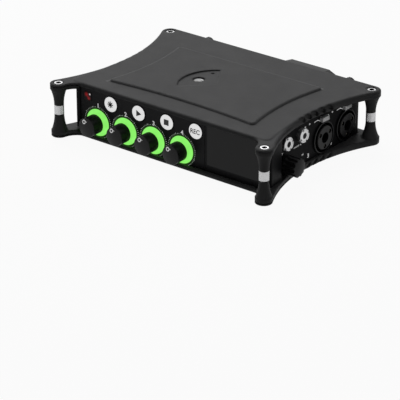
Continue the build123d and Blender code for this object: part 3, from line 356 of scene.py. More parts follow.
# ---------- shader nodes ----------
def add(tree, kind, inputs=None, **settings_of_node):
    """A shader node with its settings, and its inputs fed by values or by other nodes' sockets."""
    made = tree.nodes.new("ShaderNode" + kind)
    for key, value in settings_of_node.items():
        setattr(made, key, value)
    for key, value in (inputs or {}).items():
        if isinstance(value, bpy.types.NodeSocket):
            tree.links.new(value, made.inputs[key])
        else:
            made.inputs[key].default_value = value
    return made


def maths(tree, operation, *values, **flags):
    """Result of a Math node, a number."""
    return add(tree, "Math", dict(enumerate(values)), operation=operation, **flags).outputs[0]


def vector_maths(tree, operation, *values):
    """Result of a Vector Math node, a number or a vector."""
    made = add(tree, "VectorMath", dict(enumerate(values)), operation=operation)
    return made.outputs["Value" if operation in ("DOT_PRODUCT", "LENGTH", "DISTANCE") else "Vector"]


def scaled(tree, vector, factor):
    """A vector or a colour times a factor."""
    return add(tree, "VectorMath", {0: vector, "Scale": factor}, operation="SCALE").outputs[0]


def ramp(tree, value, start, end, low=0.0, high=1.0, shape="LINEAR"):
    """Low where the value is at its start, high where it is at its end, and held beyond both."""
    return add(tree, "MapRange", {"Value": value, "From Min": start, "From Max": end, "To Min": low,
                                  "To Max": high}, interpolation_type=shape).outputs[0]


def between(tree, mask, first, second):
    """A number: the first where the mask is 0, the second where it is 1."""
    return add(tree, "Mix", {0: mask, 2: first, 3: second}).outputs[0]


def colour_between(tree, mask, first, second):
    """A colour: the first where the mask is 0, the second where it is 1."""
    return add(tree, "Mix", {0: mask, 6: first, 7: second}, data_type="RGBA").outputs[2]


def apart(tree, value, place):
    """How far a value is from a place, either way."""
    return maths(tree, "ABSOLUTE", maths(tree, "SUBTRACT", value, place))


def within(tree, value, limit):
    """1 where a value is less than the limit away from 0."""
    return maths(tree, "LESS_THAN", maths(tree, "ABSOLUTE", value), limit)


def where_in(tree):
    """Where a point is, in the object's own coordinates."""
    return add(tree, "TexCoord").outputs["Object"]


def noise(tree, scale, detail, **more):
    """Value of a noise that stays with the object."""
    inputs = {"Vector": where_in(tree), "Scale": scale, "Detail": detail, **more}
    return add(tree, "TexNoise", inputs).outputs[0]


def once(name, kind="materials"):
    """Decorates a maker, so that a material or node group of this name is made only the first time."""
    def wrap(make):
        @functools.wraps(make)
        def given():
            return getattr(bpy.data, kind).get(name) or make()
        return given
    return wrap


def new_group(name, inputs, outputs):
    """An empty node group with its sockets; returns the tree, what it is given and what it has to fill."""
    tree = bpy.data.node_groups.new(name, "ShaderNodeTree")
    for socket, kind, default in inputs:
        made = tree.interface.new_socket(socket, in_out="INPUT", socket_type="NodeSocket" + kind)
        made.default_value = default
    for socket, kind in outputs:
        tree.interface.new_socket(socket, in_out="OUTPUT", socket_type="NodeSocket" + kind)
    return tree, tree.nodes.new("NodeGroupInput").outputs, tree.nodes.new("NodeGroupOutput").inputs


@once("Grain", "node_groups")
def grain_group():
    """Moulded or powder-coated grain: fine noise as relief and roughness, broad noise as mottling."""
    tree, given, out = new_group(
        "Grain",
        [("Colour", "Color", (0.1, 0.1, 0.1, 1)), ("Mottle", "Float", 0.1), ("Fineness", "Float", 1500.0),
         ("Relief", "Float", 0.00002), ("Roughness", "Float", 0.6), ("Spread", "Float", 0.08)],
        [("Colour", "Color"), ("Roughness", "Float"), ("Normal", "Vector")])
    fine = noise(tree, given["Fineness"], 3.0)
    broad = noise(tree, maths(tree, "MULTIPLY", given["Fineness"], 0.045), 4.0, Roughness=0.6)
    offset = maths(tree, "SUBTRACT", maths(tree, "ADD", fine, broad), 1.0)
    factor = maths(tree, "MULTIPLY_ADD", offset, given["Mottle"], 1.0)
    rough = maths(tree, "MULTIPLY_ADD", offset, given["Spread"], given["Roughness"])
    bump = add(tree, "Bump", {"Height": fine, "Distance": given["Relief"]}).outputs[0]
    tree.links.new(scaled(tree, given["Colour"], factor), out["Colour"])
    tree.links.new(rough, out["Roughness"])
    tree.links.new(bump, out["Normal"])
    return tree


@once("Rubbed edges", "node_groups")
def rub_group():
    """Edges given wear and a painted sheen: where the rounded normal leans from the flat one, patches lift
    colour and gloss, partly as wear and partly as a painted highlight along the edges.
    """
    tree, given, out = new_group(
        "Rubbed edges",
        [("Colour", "Color", (0.1, 0.1, 0.1, 1)), ("Rubbed", "Color", (0.2, 0.2, 0.2, 1)),
         ("Amount", "Float", 0.5), ("Roughness", "Float", 0.6), ("Rubbed Roughness", "Float", 0.4)],
        [("Colour", "Color"), ("Roughness", "Float"), ("Mask", "Float")])
    rounded = add(tree, "Bevel", {"Radius": 0.5 * MM}, samples=6).outputs[0]
    flat = add(tree, "NewGeometry").outputs["Normal"]
    edge = ramp(tree, vector_maths(tree, "DOT_PRODUCT", rounded, flat), 0.995, 0.9)
    patchy = ramp(tree, noise(tree, 260.0, 5.0), 0.35, 0.6)
    # Mask of the lighter edges: partly wear, partly a painted highlight.
    wear_and_sheen = maths(tree, "MULTIPLY", edge, patchy)
    wear_and_sheen = maths(tree, "MULTIPLY", wear_and_sheen, given["Amount"], use_clamp=True)
    tree.links.new(colour_between(tree, wear_and_sheen, given["Colour"], given["Rubbed"]), out["Colour"])
    tree.links.new(between(tree, wear_and_sheen, given["Roughness"], given["Rubbed Roughness"]), out["Roughness"])
    tree.links.new(wear_and_sheen, out["Mask"])
    return tree


def shade_of(colour_value, factor=1.0):
    """A colour times a factor, with full alpha."""
    return tuple(min(1.0, channel * factor) for channel in colour_value) + (1.0,)


# ---------- finishes ----------
def finish(name, base, roughness, fineness=1500.0, relief=0.02, mottle=0.12, spread=0.1, rub=0.0,
           **constants):
    """A material: grain, then edges given wear and a painted highlight where asked for, into a Principled
    shader with its constants.

    Fineness is the noise's scale and relief its height in millimetres. Base is a colour, or the name of a
    colour that the user can set.
    """
    if name in bpy.data.materials:
        return bpy.data.materials[name]
    if isinstance(base, str):
        base = getattr(finishes(), base)
    made = bpy.data.materials.new(name)
    made.use_nodes = True
    tree = made.node_tree
    shader = tree.nodes["Principled BSDF"].inputs
    last = grain = add(tree, "Group", node_tree=grain_group())
    for key, value in (("Colour", shade_of(base)), ("Mottle", mottle), ("Fineness", fineness),
                       ("Relief", relief * MM), ("Roughness", roughness), ("Spread", spread)):
        grain.inputs[key].default_value = value
    if rub:
        last = add(tree, "Group", node_tree=rub_group())
        tree.links.new(grain.outputs["Colour"], last.inputs["Colour"])
        tree.links.new(grain.outputs["Roughness"], last.inputs["Roughness"])
        # The lighter edge colour, 1.9 times the base, is partly wear and partly a painted highlight.
        last.inputs["Rubbed"].default_value = shade_of(base, 1.9)
        last.inputs["Amount"].default_value = rub
        last.inputs["Rubbed Roughness"].default_value = roughness * 0.75
    tree.links.new(last.outputs["Colour"], shader["Base Color"])
    tree.links.new(last.outputs["Roughness"], shader["Roughness"])
    tree.links.new(grain.outputs["Normal"], shader["Normal"])
    for key, value in constants.items():
        shader[key.replace("_", " ")].default_value = value
    made.diffuse_color = shade_of(base)
    return made


# Finishes that need no more than that: colour, roughness, fineness, relief, and what else they set.
PLAIN = {
    "satin_silver": ("silver", 0.34, 2600.0, 0.006, dict(mottle=0.1, spread=0.2, Metallic=1.0)),
    "bright_steel": ((0.7, 0.7, 0.71), 0.22, 3000.0, 0.004, dict(mottle=0.06, spread=0.16, Metallic=1.0)),
    "nickel_spring": ((0.62, 0.6, 0.55), 0.28, 2600.0, 0.004, dict(Metallic=1.0)),
    "contact_metal": ((0.07, 0.065, 0.055), 0.4, 2600.0, 0.004, dict(Metallic=1.0)),
    "tab_metal": ("tab", 0.42, 2400.0, 0.006, dict(rub=0.2, Metallic=0.2)),
    "black_oxide": ((0.02, 0.02, 0.021), 0.34, 2600.0, 0.008, dict(rub=0.6, Metallic=0.8)),
    "zinc_can": ((0.4, 0.4, 0.39), 0.4, 1200.0, 0.008, dict(Metallic=0.9)),
    # White ink: its emission is a painted glow that brightens the print.
    "white_ink": ("ink", 0.55, 4000.0, 0.003,
                  dict(mottle=0.06, Emission_Color=(1, 1, 1, 1), Emission_Strength=0.4)),
    "black_ink": ((0.02, 0.02, 0.02), 0.5, 4000.0, 0.003, dict(mottle=0.1)),
    # The side panels' and frames' colours hold painted shade as well as their black.
    "side_panel_paint": ("side", 0.5, 2400.0, 0.012, dict(Specular_IOR_Level=0.03)),
    "frame_paint": ("frames", 0.5, 2200.0, 0.02, dict(rub=0.2, Specular_IOR_Level=0.05)),
    "knob_plastic": ("knob", 0.4, 2600.0, 0.008, dict(mottle=0.14, rub=0.25, Specular_IOR_Level=0.2)),
    "fluted_plastic": ("knob", 0.45, 2600.0, 0.008, dict(mottle=0.14, rub=0.9, Specular_IOR_Level=0.12)),
    "black_plastic": ("socket", 0.36, 1800.0, 0.01, dict(mottle=0.15, Specular_IOR_Level=0.14)),
    "sled_plastic": ((0.004, 0.004, 0.0045), 0.52, 1700.0, 0.03, dict(rub=0.2, Specular_IOR_Level=0.1)),
    "screen_glass": ("glass", 0.14, 300.0, 0.0005, dict(mottle=0.03, Specular_IOR_Level=0.17)),
    "screen_cell": ((0.01, 0.012, 0.014), 0.3, 600.0, 0.001, {}),
}


def plain(name):
    """One of the plain finishes."""
    base, roughness, fineness, relief, rest = PLAIN[name]
    return finish(name, base, roughness, fineness, relief, **rest)


def opened(name, *values, **named):
    """A new finish, the tree of its nodes and its shader's inputs."""
    made = finish(name, *values, **named)
    return made, made.node_tree, made.node_tree.nodes["Principled BSDF"].inputs


def glowing(tree, shader, light, factor):
    """Makes a surface give off a light of its own, by a factor that changes over it."""
    tree.links.new(scaled(tree, light, factor), shader["Emission Color"])
    shader["Emission Strength"].default_value = 1.0


@once("cover_coat")
def coat():
    """Powder coat with softened edges, a painted highlight that lifts its colour in bands along the pads'
    rear and left sides, and painted shade that darkens the front lips.
    """
    made, tree, shader = opened("cover_coat", "coat", 0.62, 2200.0, 0.03, mottle=0.16, spread=0.16, rub=0.45,
                                Specular_IOR_Level=0.15)
    grain, colour = (shader[socket].links[0].from_socket for socket in ("Normal", "Base Color"))
    flat = add(tree, "NewGeometry").outputs["Normal"]
    rounded = add(tree, "Bevel", {"Radius": 2.2 * MM}, samples=6).outputs[0]
    ripple = vector_maths(tree, "SUBTRACT", grain, flat)
    normal = vector_maths(tree, "NORMALIZE", vector_maths(tree, "ADD", rounded, ripple))
    tree.links.new(normal, shader["Normal"])
    x, y, _ = add(tree, "SeparateXYZ", {0: where_in(tree)}).outputs
    away = vector_maths(tree, "DISTANCE", add(tree, "CombineXYZ", {0: x, 1: y}).outputs[0], PAD_CENTRE)
    painted_highlight_lines = []
    for value, place, inside, limit in ((away, PAD_ARC, y, PAD_REAR), (y, PAD_REAR, x, PAD_CORNER)):
        # Painted highlight: bands along the pads' left arc and rear side, lifting the colour up to 2.2 times.
        band = ramp(tree, apart(tree, value, place), 1.1 * MM, 0.5 * MM)
        painted_highlight_lines.append(maths(tree, "MULTIPLY", band, within(tree, inside, limit)))
    lift = ramp(tree, maths(tree, "MAXIMUM", *painted_highlight_lines), 0.0, 1.0, 1.0, 2.2)
    # Painted shade: where the rounded normal faces forward, within the lips' ends, the colour falls to 0.45
    # of itself.
    fall = ramp(tree, add(tree, "SeparateXYZ", {0: rounded}).outputs[1], -0.1, -0.9, 0.0, -0.55)
    fall = maths(tree, "MULTIPLY_ADD", fall, within(tree, x, LIP_END), 1.0)
    tree.links.new(scaled(tree, colour, maths(tree, "MULTIPLY", lift, fall)), shader["Base Color"])
    return made


def two_tone(name, outer, inner, axis, edge, middle=0.0, metallic=(1.0, 0.0), **named):
    """A finish of two colours: one farther from a plane than the edge, another nearer, over a narrow band.
    The jacks' metal and plastic are real; on the screws and inserts the dark colour is painted shade.

    The plane stands on the axis, its middle away from the origin. Metallic is the outer's, then the inner's.
    """
    if name in bpy.data.materials:
        return bpy.data.materials[name]
    outer, inner = (getattr(finishes(), base) if isinstance(base, str) else base for base in (outer, inner))
    made, tree, shader = opened(name, outer, **named)
    away = apart(tree, vector_maths(tree, "DOT_PRODUCT", where_in(tree), axis), middle)
    mask = ramp(tree, away, edge - 0.05 * MM, edge)
    tree.links.new(colour_between(tree, mask, shade_of(inner), shade_of(outer)), shader["Base Color"])
    tree.links.new(between(tree, mask, metallic[1], metallic[0]), shader["Metallic"])
    return made


@once("front_panel_paint")
def panel_paint():
    """Panel paint, with the rings' light spilt on it as a falloff from the nearest knob's axis."""
    made, tree, shader = opened("front_panel_paint", "panel", 0.46, 2400.0, 0.012, Specular_IOR_Level=0.1)
    (first, height), pitch = knob_place(1), knob_place(2)[0] - knob_place(1)[0]
    x, _, z = add(tree, "SeparateXYZ", {0: where_in(tree)}).outputs
    steps = maths(tree, "DIVIDE", maths(tree, "SUBTRACT", x, first), pitch)
    last = len(CHANNELS) - 1.0
    nearest = add(tree, "Clamp", {0: maths(tree, "ROUND", steps), 1: 0.0, 2: last}).outputs[0]
    across = maths(tree, "MULTIPLY", maths(tree, "SUBTRACT", steps, nearest), pitch)
    spot = add(tree, "CombineXYZ", {0: across, 1: maths(tree, "SUBTRACT", z, height)}).outputs[0]
    ring = controls().ring_radius
    reach, most = 1.28 * ring, 0.04
    spill = ramp(tree, vector_maths(tree, "LENGTH", spot), ring, reach, most, 0.0, "SMOOTHSTEP")
    glowing(tree, shader, finishes().light, spill)
    return made


@once("ring_light")
def ring_light():
    """Lit diffuser: its own light, a little uneven, over a pale green plastic."""
    made, tree, shader = opened("ring_light", shade_of(finishes().light, 0.25)[:3], 0.45, 900.0, 0.004)
    glowing(tree, shader, finishes().light, ramp(tree, noise(tree, 420.0, 2.0), 0.0, 1.0, 0.88, 1.12))
    return made


@once("button_plastic")
def button_plastic():
    """White plastic with a painted glow: its own light, which changes a little with a broad noise, brightens
    it.
    """
    made, tree, shader = opened("button_plastic", "button", 0.4, 1500.0, 0.003, mottle=0.04,
                                Specular_IOR_Level=0.2)
    glowing(tree, shader, (1.0, 1.0, 1.0), ramp(tree, noise(tree, 240.0, 2.0), 0.0, 1.0, 0.62, 0.72))
    return made


@once("red_lens")
def red_lens():
    """Near-black red lens with soft red glowing spots along its diagonal, and a painted highlight, a small
    white glint, in its corner.
    """
    made, tree, shader = opened("red_lens", "window", 0.3, 1200.0, 0.002, Specular_IOR_Level=0.15)
    centre = span("led_window")[2]
    where = where_in(tree)
    red, white = (0.22, 0.004, 0.006), (1.0, 0.9, 0.9)
    glows = []
    # Each spot's place across and up from the window's centre and its reach, in millimetres, and its colour;
    # the white one is a painted glint.
    for across, up, reach, shade in ((-0.9, 0.9, 2.0, red), (0.0, -0.1, 1.2, red), (0.8, -1.1, 1.7, red),
                                     (1.6, 1.5, 0.9, white)):
        spot = (centre[0] + across * MM, FRONT_Y, centre[2] + up * MM)
        away = vector_maths(tree, "DISTANCE", where, spot)
        glows.append(scaled(tree, shade, ramp(tree, away, 0.0, reach * MM, 1.0, 0.0, "SMOOTHSTEP")))
    brightest = functools.reduce(lambda one, other: vector_maths(tree, "MAXIMUM", one, other), glows)
    tree.links.new(brightest, shader["Emission Color"])
    shader["Emission Strength"].default_value = 1.0
    return made


@once("solder_mask")
def solder_mask():
    """Solder mask with copper runs seen through it, as bands of a blocky pattern."""
    green = (0.008, 0.05, 0.02)
    made, tree, shader = opened("solder_mask", green, 0.4, 1400.0, 0.006)
    cells = add(tree, "TexVoronoi", {"Vector": where_in(tree), "Scale": 420.0}, distance="CHEBYCHEV")
    run = ramp(tree, cells.outputs["Distance"], 0.42, 0.46)
    tree.links.new(colour_between(tree, run, shade_of(green), shade_of(green, 2.2)), shader["Base Color"])
    return made


@once("cell_wrap")
def cell_wrap():
    """Battery wrap: bright metal at both ends, a coloured band at one end, and a grey wrap between."""
    grey = (0.05, 0.05, 0.055)
    made, tree, shader = opened("cell_wrap", grey, 0.3, 900.0, 0.004)
    along = add(tree, "SeparateXYZ", {0: where_in(tree)}).outputs[0]
    low, high, _ = span("battery_cells")
    end, band_width, tip_width = (high - low)[0] / 2, 14 * MM, 1.2 * MM
    band = maths(tree, "GREATER_THAN", along, end - band_width)
    tip = maths(tree, "GREATER_THAN", maths(tree, "ABSOLUTE", along), end - tip_width)
    shade = colour_between(tree, band, shade_of(grey), (0.35, 0.16, 0.05, 1))
    tree.links.new(colour_between(tree, tip, shade, (0.6, 0.6, 0.6, 1)), shader["Base Color"])
    tree.links.new(tip, shader["Metallic"])
    return made


def finish_of_nodes():
    """The material of each CAD node that stays in view or behind another."""
    # Screws: silver only within 0.05 mm of the top of the heads; below that, hex sockets included, the steel
    # is painted near-black as shade in the recesses.
    screw = two_tone("screw_steel", "silver", (0.03, 0.03, 0.03), (0, 0, 1), EAR_Z, metallic=(1.0, 0.4),
                     roughness=0.3, fineness=3000.0, relief=0.004, mottle=0.08, spread=0.2)
    jack = two_tone("jack_metal", "silver", "socket", (1, 0, 0), RIGHT_X - 0.4 * MM,
                    roughness=0.34, fineness=2600.0, relief=0.006, mottle=0.1, spread=0.2)
    return {
        coat(): ["top_shell", "bottom_shell"],
        plain("frame_paint"): ["side_frames"],
        panel_paint(): ["front_panel"],
        plain("side_panel_paint"): ["right_panel", "left_panel"],
        screw: ["corner_screws"],
        jack: ["jack_sockets"],
        plain("bright_steel"): ["board_screws", "headphone_shaft", "usb_c_port", "usb_a_port", "hdmi_port",
                                *numbered("knob_shaft")],
        red_lens(): ["led_window"],
        plain("screen_glass"): ["screen_glass"],
        plain("screen_cell"): ["display_module"],
        plain("zinc_can"): ["potentiometers"],
        plain("black_plastic"): ["combo_barrels", "combo_inserts", "tact_switches", "power_switch",
                                 "headphone_plunger", *numbered("push_plunger")],
        plain("knob_plastic"): ["power_slider"],
        plain("tab_metal"): numbered("latch_tab"),
        solder_mask(): ["control_board", "main_board", "right_board", "left_board"],
        plain("sled_plastic"): ["battery_sled", "battery_bay", "card_slot"],
        cell_wrap(): ["battery_cells"],
        plain("nickel_spring"): ["sled_contacts"],
        plain("black_oxide"): ["thumb_screw_left", "thumb_screw_right"],
    }


# ---------- operators ----------
class RECORDER_OT_case(bpy.types.Operator):
    """Give every CAD node its finish"""

    bl_idname = "recorder.case"
    bl_label = "Case and inner parts"

    def execute(self, context):
        for material, nodes in finish_of_nodes().items():
            for node in nodes:
                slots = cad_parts[node].data.materials
                slots.clear()
                slots.append(material)
        return {"FINISHED"}


class RECORDER_OT_collars(bpy.types.Operator):
    """Build the knurled collars that clamp the corner posts"""

    bl_idname = "recorder.collars"
    bl_label = "Knurled collars"

    def execute(self, context):
        size = sockets()
        low, high, _ = span("post_collars")
        reach = high - size.collar_radius
        bottom, top = low[2], high[2]
        edge, bore = 0.25 * MM, size.collar_radius - 1.2 * MM
        heights = [bottom, bottom, *np.linspace(bottom + edge, top - edge, 43), top, top]
        radii = [bore, size.collar_radius - edge, *[size.collar_radius] * 43, size.collar_radius - edge, bore]
        rows = (top - bottom) / (2 * math.pi * size.collar_radius / size.knurls)

        def diamonds(angle, radius, out):
            """Radius less the depth times the nearer of two crossing helices' grooves."""
            climb = (out - bottom) / (top - bottom) * rows * math.pi
            turn = angle * size.knurls / 2
            groove = 1 - np.minimum(np.abs(np.sin(turn + climb)), np.abs(np.sin(turn - climb)))
            smooth = (out <= bottom + edge) | (out >= top - edge)
            return radius - np.where(smooth, 0, size.knurl_depth * groove), out

        collars = [turned("upright", x, y, list(zip(radii, heights)), steps=208, wave=diamonds)
                   for x in (-reach[0], reach[0]) for y in (-reach[1], reach[1])]
        piece("knurled_collars", joined(collars), plain("satin_silver"), "chassis",
              replaces=["post_collars"])
        return {"FINISHED"}


class RECORDER_OT_inserts(bpy.types.Operator):
    """Build the threaded steel inserts of the tripod mounts"""

    bl_idname = "recorder.inserts"
    bl_label = "Tripod inserts"

    def execute(self, context):
        size = sockets()
        low, high, centre = span("thread_inserts")
        flange, outer, minor = (high - low)[0] / 2, size.insert_radius, size.thread_radius
        depth, floor, chamfer, cut = 7.2 * MM, 0.6 * MM, 0.5 * MM, 0.2 * MM
        roof = span("front_panel")[1][2] - TOP_Z
        inserts = []
        for face, side, top in (("top", 1, high[2] - TOP_Z), ("bottom", -1, -low[2])):
            deep = top - depth
            profile = [(0, deep), (flange, deep), (flange, roof), (outer, roof), (outer, top - cut),
                       (outer - cut, top), (minor + chamfer, top)]
            profile += [(minor, out) for out in np.linspace(top - chamfer, deep + floor, 72)]
            profile += [(0, deep + floor)]

            def thread(angle, radius, out, top=top, deep=deep):
                """Radius plus half the thread's depth times 1 + the cosine of its helix, inside the bore."""
                turn = 2 * math.pi * out / size.thread_pitch - angle
                inside = (out < top - 0.4 * MM) & (out > deep + 0.3 * MM)
                inside = inside & (radius < outer - chamfer) & (radius > 0)
                return radius + np.where(inside, cut * (1 + np.cos(turn)), 0), out

            inserts.append(turned(face, side * centre[0], centre[1], profile, wave=thread))
        middle = (high[2] + low[2]) / 2
        # The inserts' rims are painted near-black as shade round the holes; deeper down, the bores stay
        # silver.
        metal = two_tone("insert_metal", (0.008, 0.008, 0.008), (0.6, 0.6, 0.6), (0, 0, 1),
                         high[2] - middle - 0.1 * MM, middle=middle, metallic=(0.0, 1.0), roughness=0.4,
                         fineness=3000.0, relief=0.004, mottle=0.08, spread=0.2, Specular_IOR_Level=0.1)
        piece("tripod_inserts", joined(inserts), metal, "chassis", replaces=["thread_inserts"])
        return {"FINISHED"}


# A knob's hollow back, as radii and depths in millimetres: the shaft's bore, then the dish round it.
KNOB_HOLLOW = ((0, 5), (3.02, 5), (3.02, 0.7), (3.9, 0.7), (3.9, 0))


def dome_sphere(radius, dome):
    """Radius of the sphere whose cap has this radius and height."""
    return (radius ** 2 + dome ** 2) / (2 * dome)


def knob_profile(size, back, front, back_radius, radius):
    """Knob's (radius, out) pairs: hollow back, short flare, straight side, round rim and domed front."""
    rim, shoulder = size.knob_rim, front - size.knob_dome
    sphere = dome_sphere(radius, size.knob_dome)
    lean = math.asin((radius - rim) / sphere)
    dome = [(sphere * math.sin(a), front - sphere * (1 - math.cos(a))) for a in np.linspace(lean, 0, 22)]
    start, corner, end = np.array([(radius, shoulder - rim), (radius, shoulder), dome[0]])     # of the rim
    bend = [tuple((1 - t) ** 2 * start + 2 * t * (1 - t) * corner + t ** 2 * end)
            for t in np.linspace(0, 1, 11)[:-1]]
    flare = [(back_radius + (radius - back_radius) * t, back + size.knob_flare * t) for t in (0.2, 0.6, 1.0)]
    side = [(radius, back + rise) for rise in np.linspace(1.6 * MM, shoulder - 2 * rim - back, 7)]
    hollow = [(bore * MM, back + depth * MM) for bore, depth in KNOB_HOLLOW]
    return [*hollow, (back_radius - 0.2 * MM, back), *flare, *side, *bend, *dome]


def knob_mark(number, size, front):
    """Printed ring with a short tail: a band between two circles, and a bar, laid on the dome.

    Height = the front less the sphere's fall at that radius, plus the printing's own thickness.
    """
    axis, sphere = knob_place(number), dome_sphere(size.knob_radius, size.knob_dome)
    middle = size.mark_reach * np.array([math.sin(size.mark_turn), math.cos(size.mark_turn)])
    inner, outer = size.mark_bore, size.mark_radius
    length, fall_off, half = 1.1 * MM, 0.35 * MM, 0.2 * MM          # of the tail, and half its width
    lift = np.array([-0.05, 0.03, 0.03, -0.05])[:, None] * MM

    def on_dome(right, rise):
        fall = sphere - np.sqrt(sphere ** 2 - right ** 2 - rise ** 2)
        return placed("front", axis[0] + right, axis[1] + rise, front - fall + lift)

    angle = np.linspace(0, 2 * np.pi, 40, endpoint=False)[None, :]
    radius = np.array([inner, inner, outer, outer])[:, None]
    ring = on_dome(middle[0] + radius * np.cos(angle), middle[1] + radius * np.sin(angle))
    along = np.linspace(0, 1, 6)[None, :]
    wide = np.array([-half, -half, half, half])[:, None]
    start = middle + np.array([0.8, 0.45]) * outer
    tail = on_dome(start[0] + along * length - wide * 0.5, start[1] - along * fall_off + wide)
    return joined([grid(ring, closed_rows=True, closed_columns=True), capped(tail)])


class RECORDER_OT_knobs(bpy.types.Operator):
    """Build the four channel knobs with their printed marks"""

    bl_idname = "recorder.knobs"
    bl_label = "Channel knobs"

    def execute(self, context):
        size = controls()
        for number in CHANNELS:
            node = f"channel_knob_{number}"
            low, high, _ = span(node)
            back, front = FRONT_Y - high[1], FRONT_Y - low[1]
            outline = knob_profile(size, back, front, size.knob_back, size.knob_radius)
            piece(f"knob_body_{number}", turned("front", *knob_place(number), outline), plain("knob_plastic"),
                  node, replaces=[node])
            piece(f"knob_mark_{number}", knob_mark(number, size, front), plain("white_ink"), node)
        return {"FINISHED"}


class RECORDER_OT_phone_knob(bpy.types.Operator):
    """Build the fluted headphone knob"""

    bl_idname = "recorder.phone_knob"
    bl_label = "Headphone knob"

    def execute(self, context):
        size = controls()
        node = "headphone_knob"
        low, high, centre = span(node)
        back, front = low[0] - RIGHT_X, high[0] - RIGHT_X
        skirt = back + 1.6 * MM

        def flutes(angle, radius, out):
            """Radius cut back to the near side of round grooves, their axes just outside the knob's side."""
            axis = size.phone_radius + size.flute_out
            away = (angle + math.pi / size.flutes) % (2 * math.pi / size.flutes) - math.pi / size.flutes
            inside = size.flute_radius ** 2 - (axis * np.sin(away)) ** 2
            groove = axis * np.cos(away) - np.sqrt(np.clip(inside, 0, None))
            return np.where((inside > 0) & (out > skirt), np.minimum(radius, groove), radius), out

        profile = knob_profile(size, back, front, size.phone_radius, size.phone_radius)
        body = turned("right", centre[1], centre[2], profile, steps=360, wave=flutes)
        piece("phone_knob_body", body, plain("fluted_plastic"), node, replaces=[node],
              crease=50.0)
        return {"FINISHED"}


class RECORDER_OT_rings(bpy.types.Operator):
    """Build the lit rings round the channel knobs"""

    bl_idname = "recorder.rings"
    bl_label = "Light rings"

    def execute(self, context):
        size = controls()
        low, high, _ = span("light_rings")
        back, proud = FRONT_Y - high[1], FRONT_Y - low[1]
        outer, inner = size.ring_radius, size.ring_bore
        soft = proud * 0.8              # rounding of the ring's two edges
        level = proud - soft
        profile = [(inner, back), (inner, level), *arc(inner + soft, level, soft, 180, 90, 5),
                   *arc(outer - soft, level, soft, 90, 0, 5), (outer, back), (inner, back)]
        rings = [turned("front", *knob_place(number), profile) for number in CHANNELS]
        piece("ring_diffusers", joined(rings), ring_light(), "chassis",
              replaces=["light_rings"])
        return {"FINISHED"}


def star(across, up, levels):
    """Eight points: four bars through one point, a quarter of a half turn apart."""
    turns = np.radians([0.0, 45.0, 90.0, 135.0])
    return patch("front", np.tile([across, up], (4, 1)), 0.7 * MM, 4.2 * MM, turns, levels)


def square(across, up, levels):
    """One square slab."""
    return patch("front", np.array([[across, up]]), 3.5 * MM, 3.5 * MM, 0.0, levels)


def arrowhead(across, up, levels):
    """A prism on a triangle that points right: three corners on an oval, at two levels."""
    angle = np.radians([0.0, 120.0, 240.0])
    right, rise = across + 2.5 * MM * np.cos(angle), up + 2.3 * MM * np.sin(angle)
    points = np.vstack([placed("front", right, rise, level) for level in levels])
    return points, [(0, 2, 1), (3, 4, 5), (0, 1, 4, 3), (1, 2, 5, 4), (2, 0, 3, 5)]


def record_word(across, up, levels):
    """Letters between the same two levels as the symbols."""
    return lettering("REC", "front", across, up, 2.8 * MM, levels, width=6.6 * MM, weight=0.02)


class RECORDER_OT_buttons(bpy.types.Operator):
    """Build the four button caps with their bezels and symbols"""

    bl_idname = "recorder.buttons"
    bl_label = "Buttons"

    def execute(self, context):
        size = controls()
        radius, outer = size.cap_radius, size.button_radius
        soft, crown, lip = 0.3 * MM, 0.12 * MM, 0.15 * MM       # cap's rounding and rise, bezel's rounding
        flange, thick, stem = outer + 0.7 * MM, 0.8 * MM, 1.2 * MM
        for kind, symbol in (("star", star), ("play", arrowhead), ("stop", square), ("record", record_word)):
            node = f"{kind}_button"
            low, high, centre = span(node)
            back, front = FRONT_Y - high[1], FRONT_Y - low[1]
            rim, behind = front - crown, back + 1.4 * MM
            shoulder = rim - soft
            cap = [(0, back), (stem, back), (stem, behind), (radius, behind), (radius, shoulder),
                   *arc(radius - soft, shoulder, soft, 0, 90, 6)[1:],
                   *((r, rim + crown * (1 - (r / radius) ** 2)) for r in np.linspace(radius - soft, 0, 9))]
            piece(f"{kind}_cap", turned("front", centre[0], centre[2], cap, steps=72), button_plastic(), node,
                  replaces=[node])
            bezel = [(radius, behind), (flange, behind), (flange, behind + thick), (outer, behind + thick),
                     (outer, shoulder), *arc(outer - lip, shoulder, lip, 0, 180, 7)[1:-1], (radius, shoulder),
                     (radius, behind)]
            piece(f"{kind}_bezel", turned("front", centre[0], centre[2], bezel, steps=72),
                  plain("black_plastic"), node)
            levels = (rim - 0.02 * MM, front + 0.015 * MM)
            piece(f"{kind}_mark", symbol(centre[0], centre[2], levels), plain("black_ink"), node, crease=20.0)
        return {"FINISHED"}


class RECORDER_OT_scales(bpy.types.Operator):
    """Print the dotted scales and channel numbers of the front panel"""

    bl_idname = "recorder.scales"
    bl_label = "Front printing"

    def execute(self, context):
        size = controls()
        shapes = []
        angle = np.radians(np.linspace(-128, 148, size.ticks))
        is_long = np.arange(size.ticks) % 5 == 0
        keep = np.abs(angle) > math.radians(9)      # the number stands in this gap
        middle = size.tick_radius + np.where(is_long, 0.15 * MM, 0)
        heights = np.where(is_long, 0.65, 0.34) * MM
        for number in CHANNELS:
            across, up = knob_place(number)
            centres = np.stack([across + middle * np.sin(angle), up + middle * np.cos(angle)], axis=1)
            shapes.append(patch("front", centres[keep], 0.26 * MM, heights[keep], angle[keep]))
            shapes.append(lettering(str(number), "front", across + 0.4 * MM, up + 10.8 * MM, size.numeral,
                                    weight=0.03))
        piece("front_printing", merged("front_printing", shapes), plain("white_ink"), "chassis")
        return {"FINISHED"}


# Labels of both sides, as text, across, up and height in millimetres.
LABELS = {"right": (("OUT", -24.5, 18.0, 1.1), ("AUX/MIX  IN", -9.0, 17.8, 0.9)),
          "left": (("ON  OFF", 4.0, 8.2, 1.1),)}
GUIDE = ((-8.8, 0.3), (-5.4, 0.5), (-3.4, -0.6))        # bent line by a tab: steps from it, in millimetres
DOTS = ((-17.5, 0.2), (-13.3, 0.8))                     # small rings by a tab, likewise


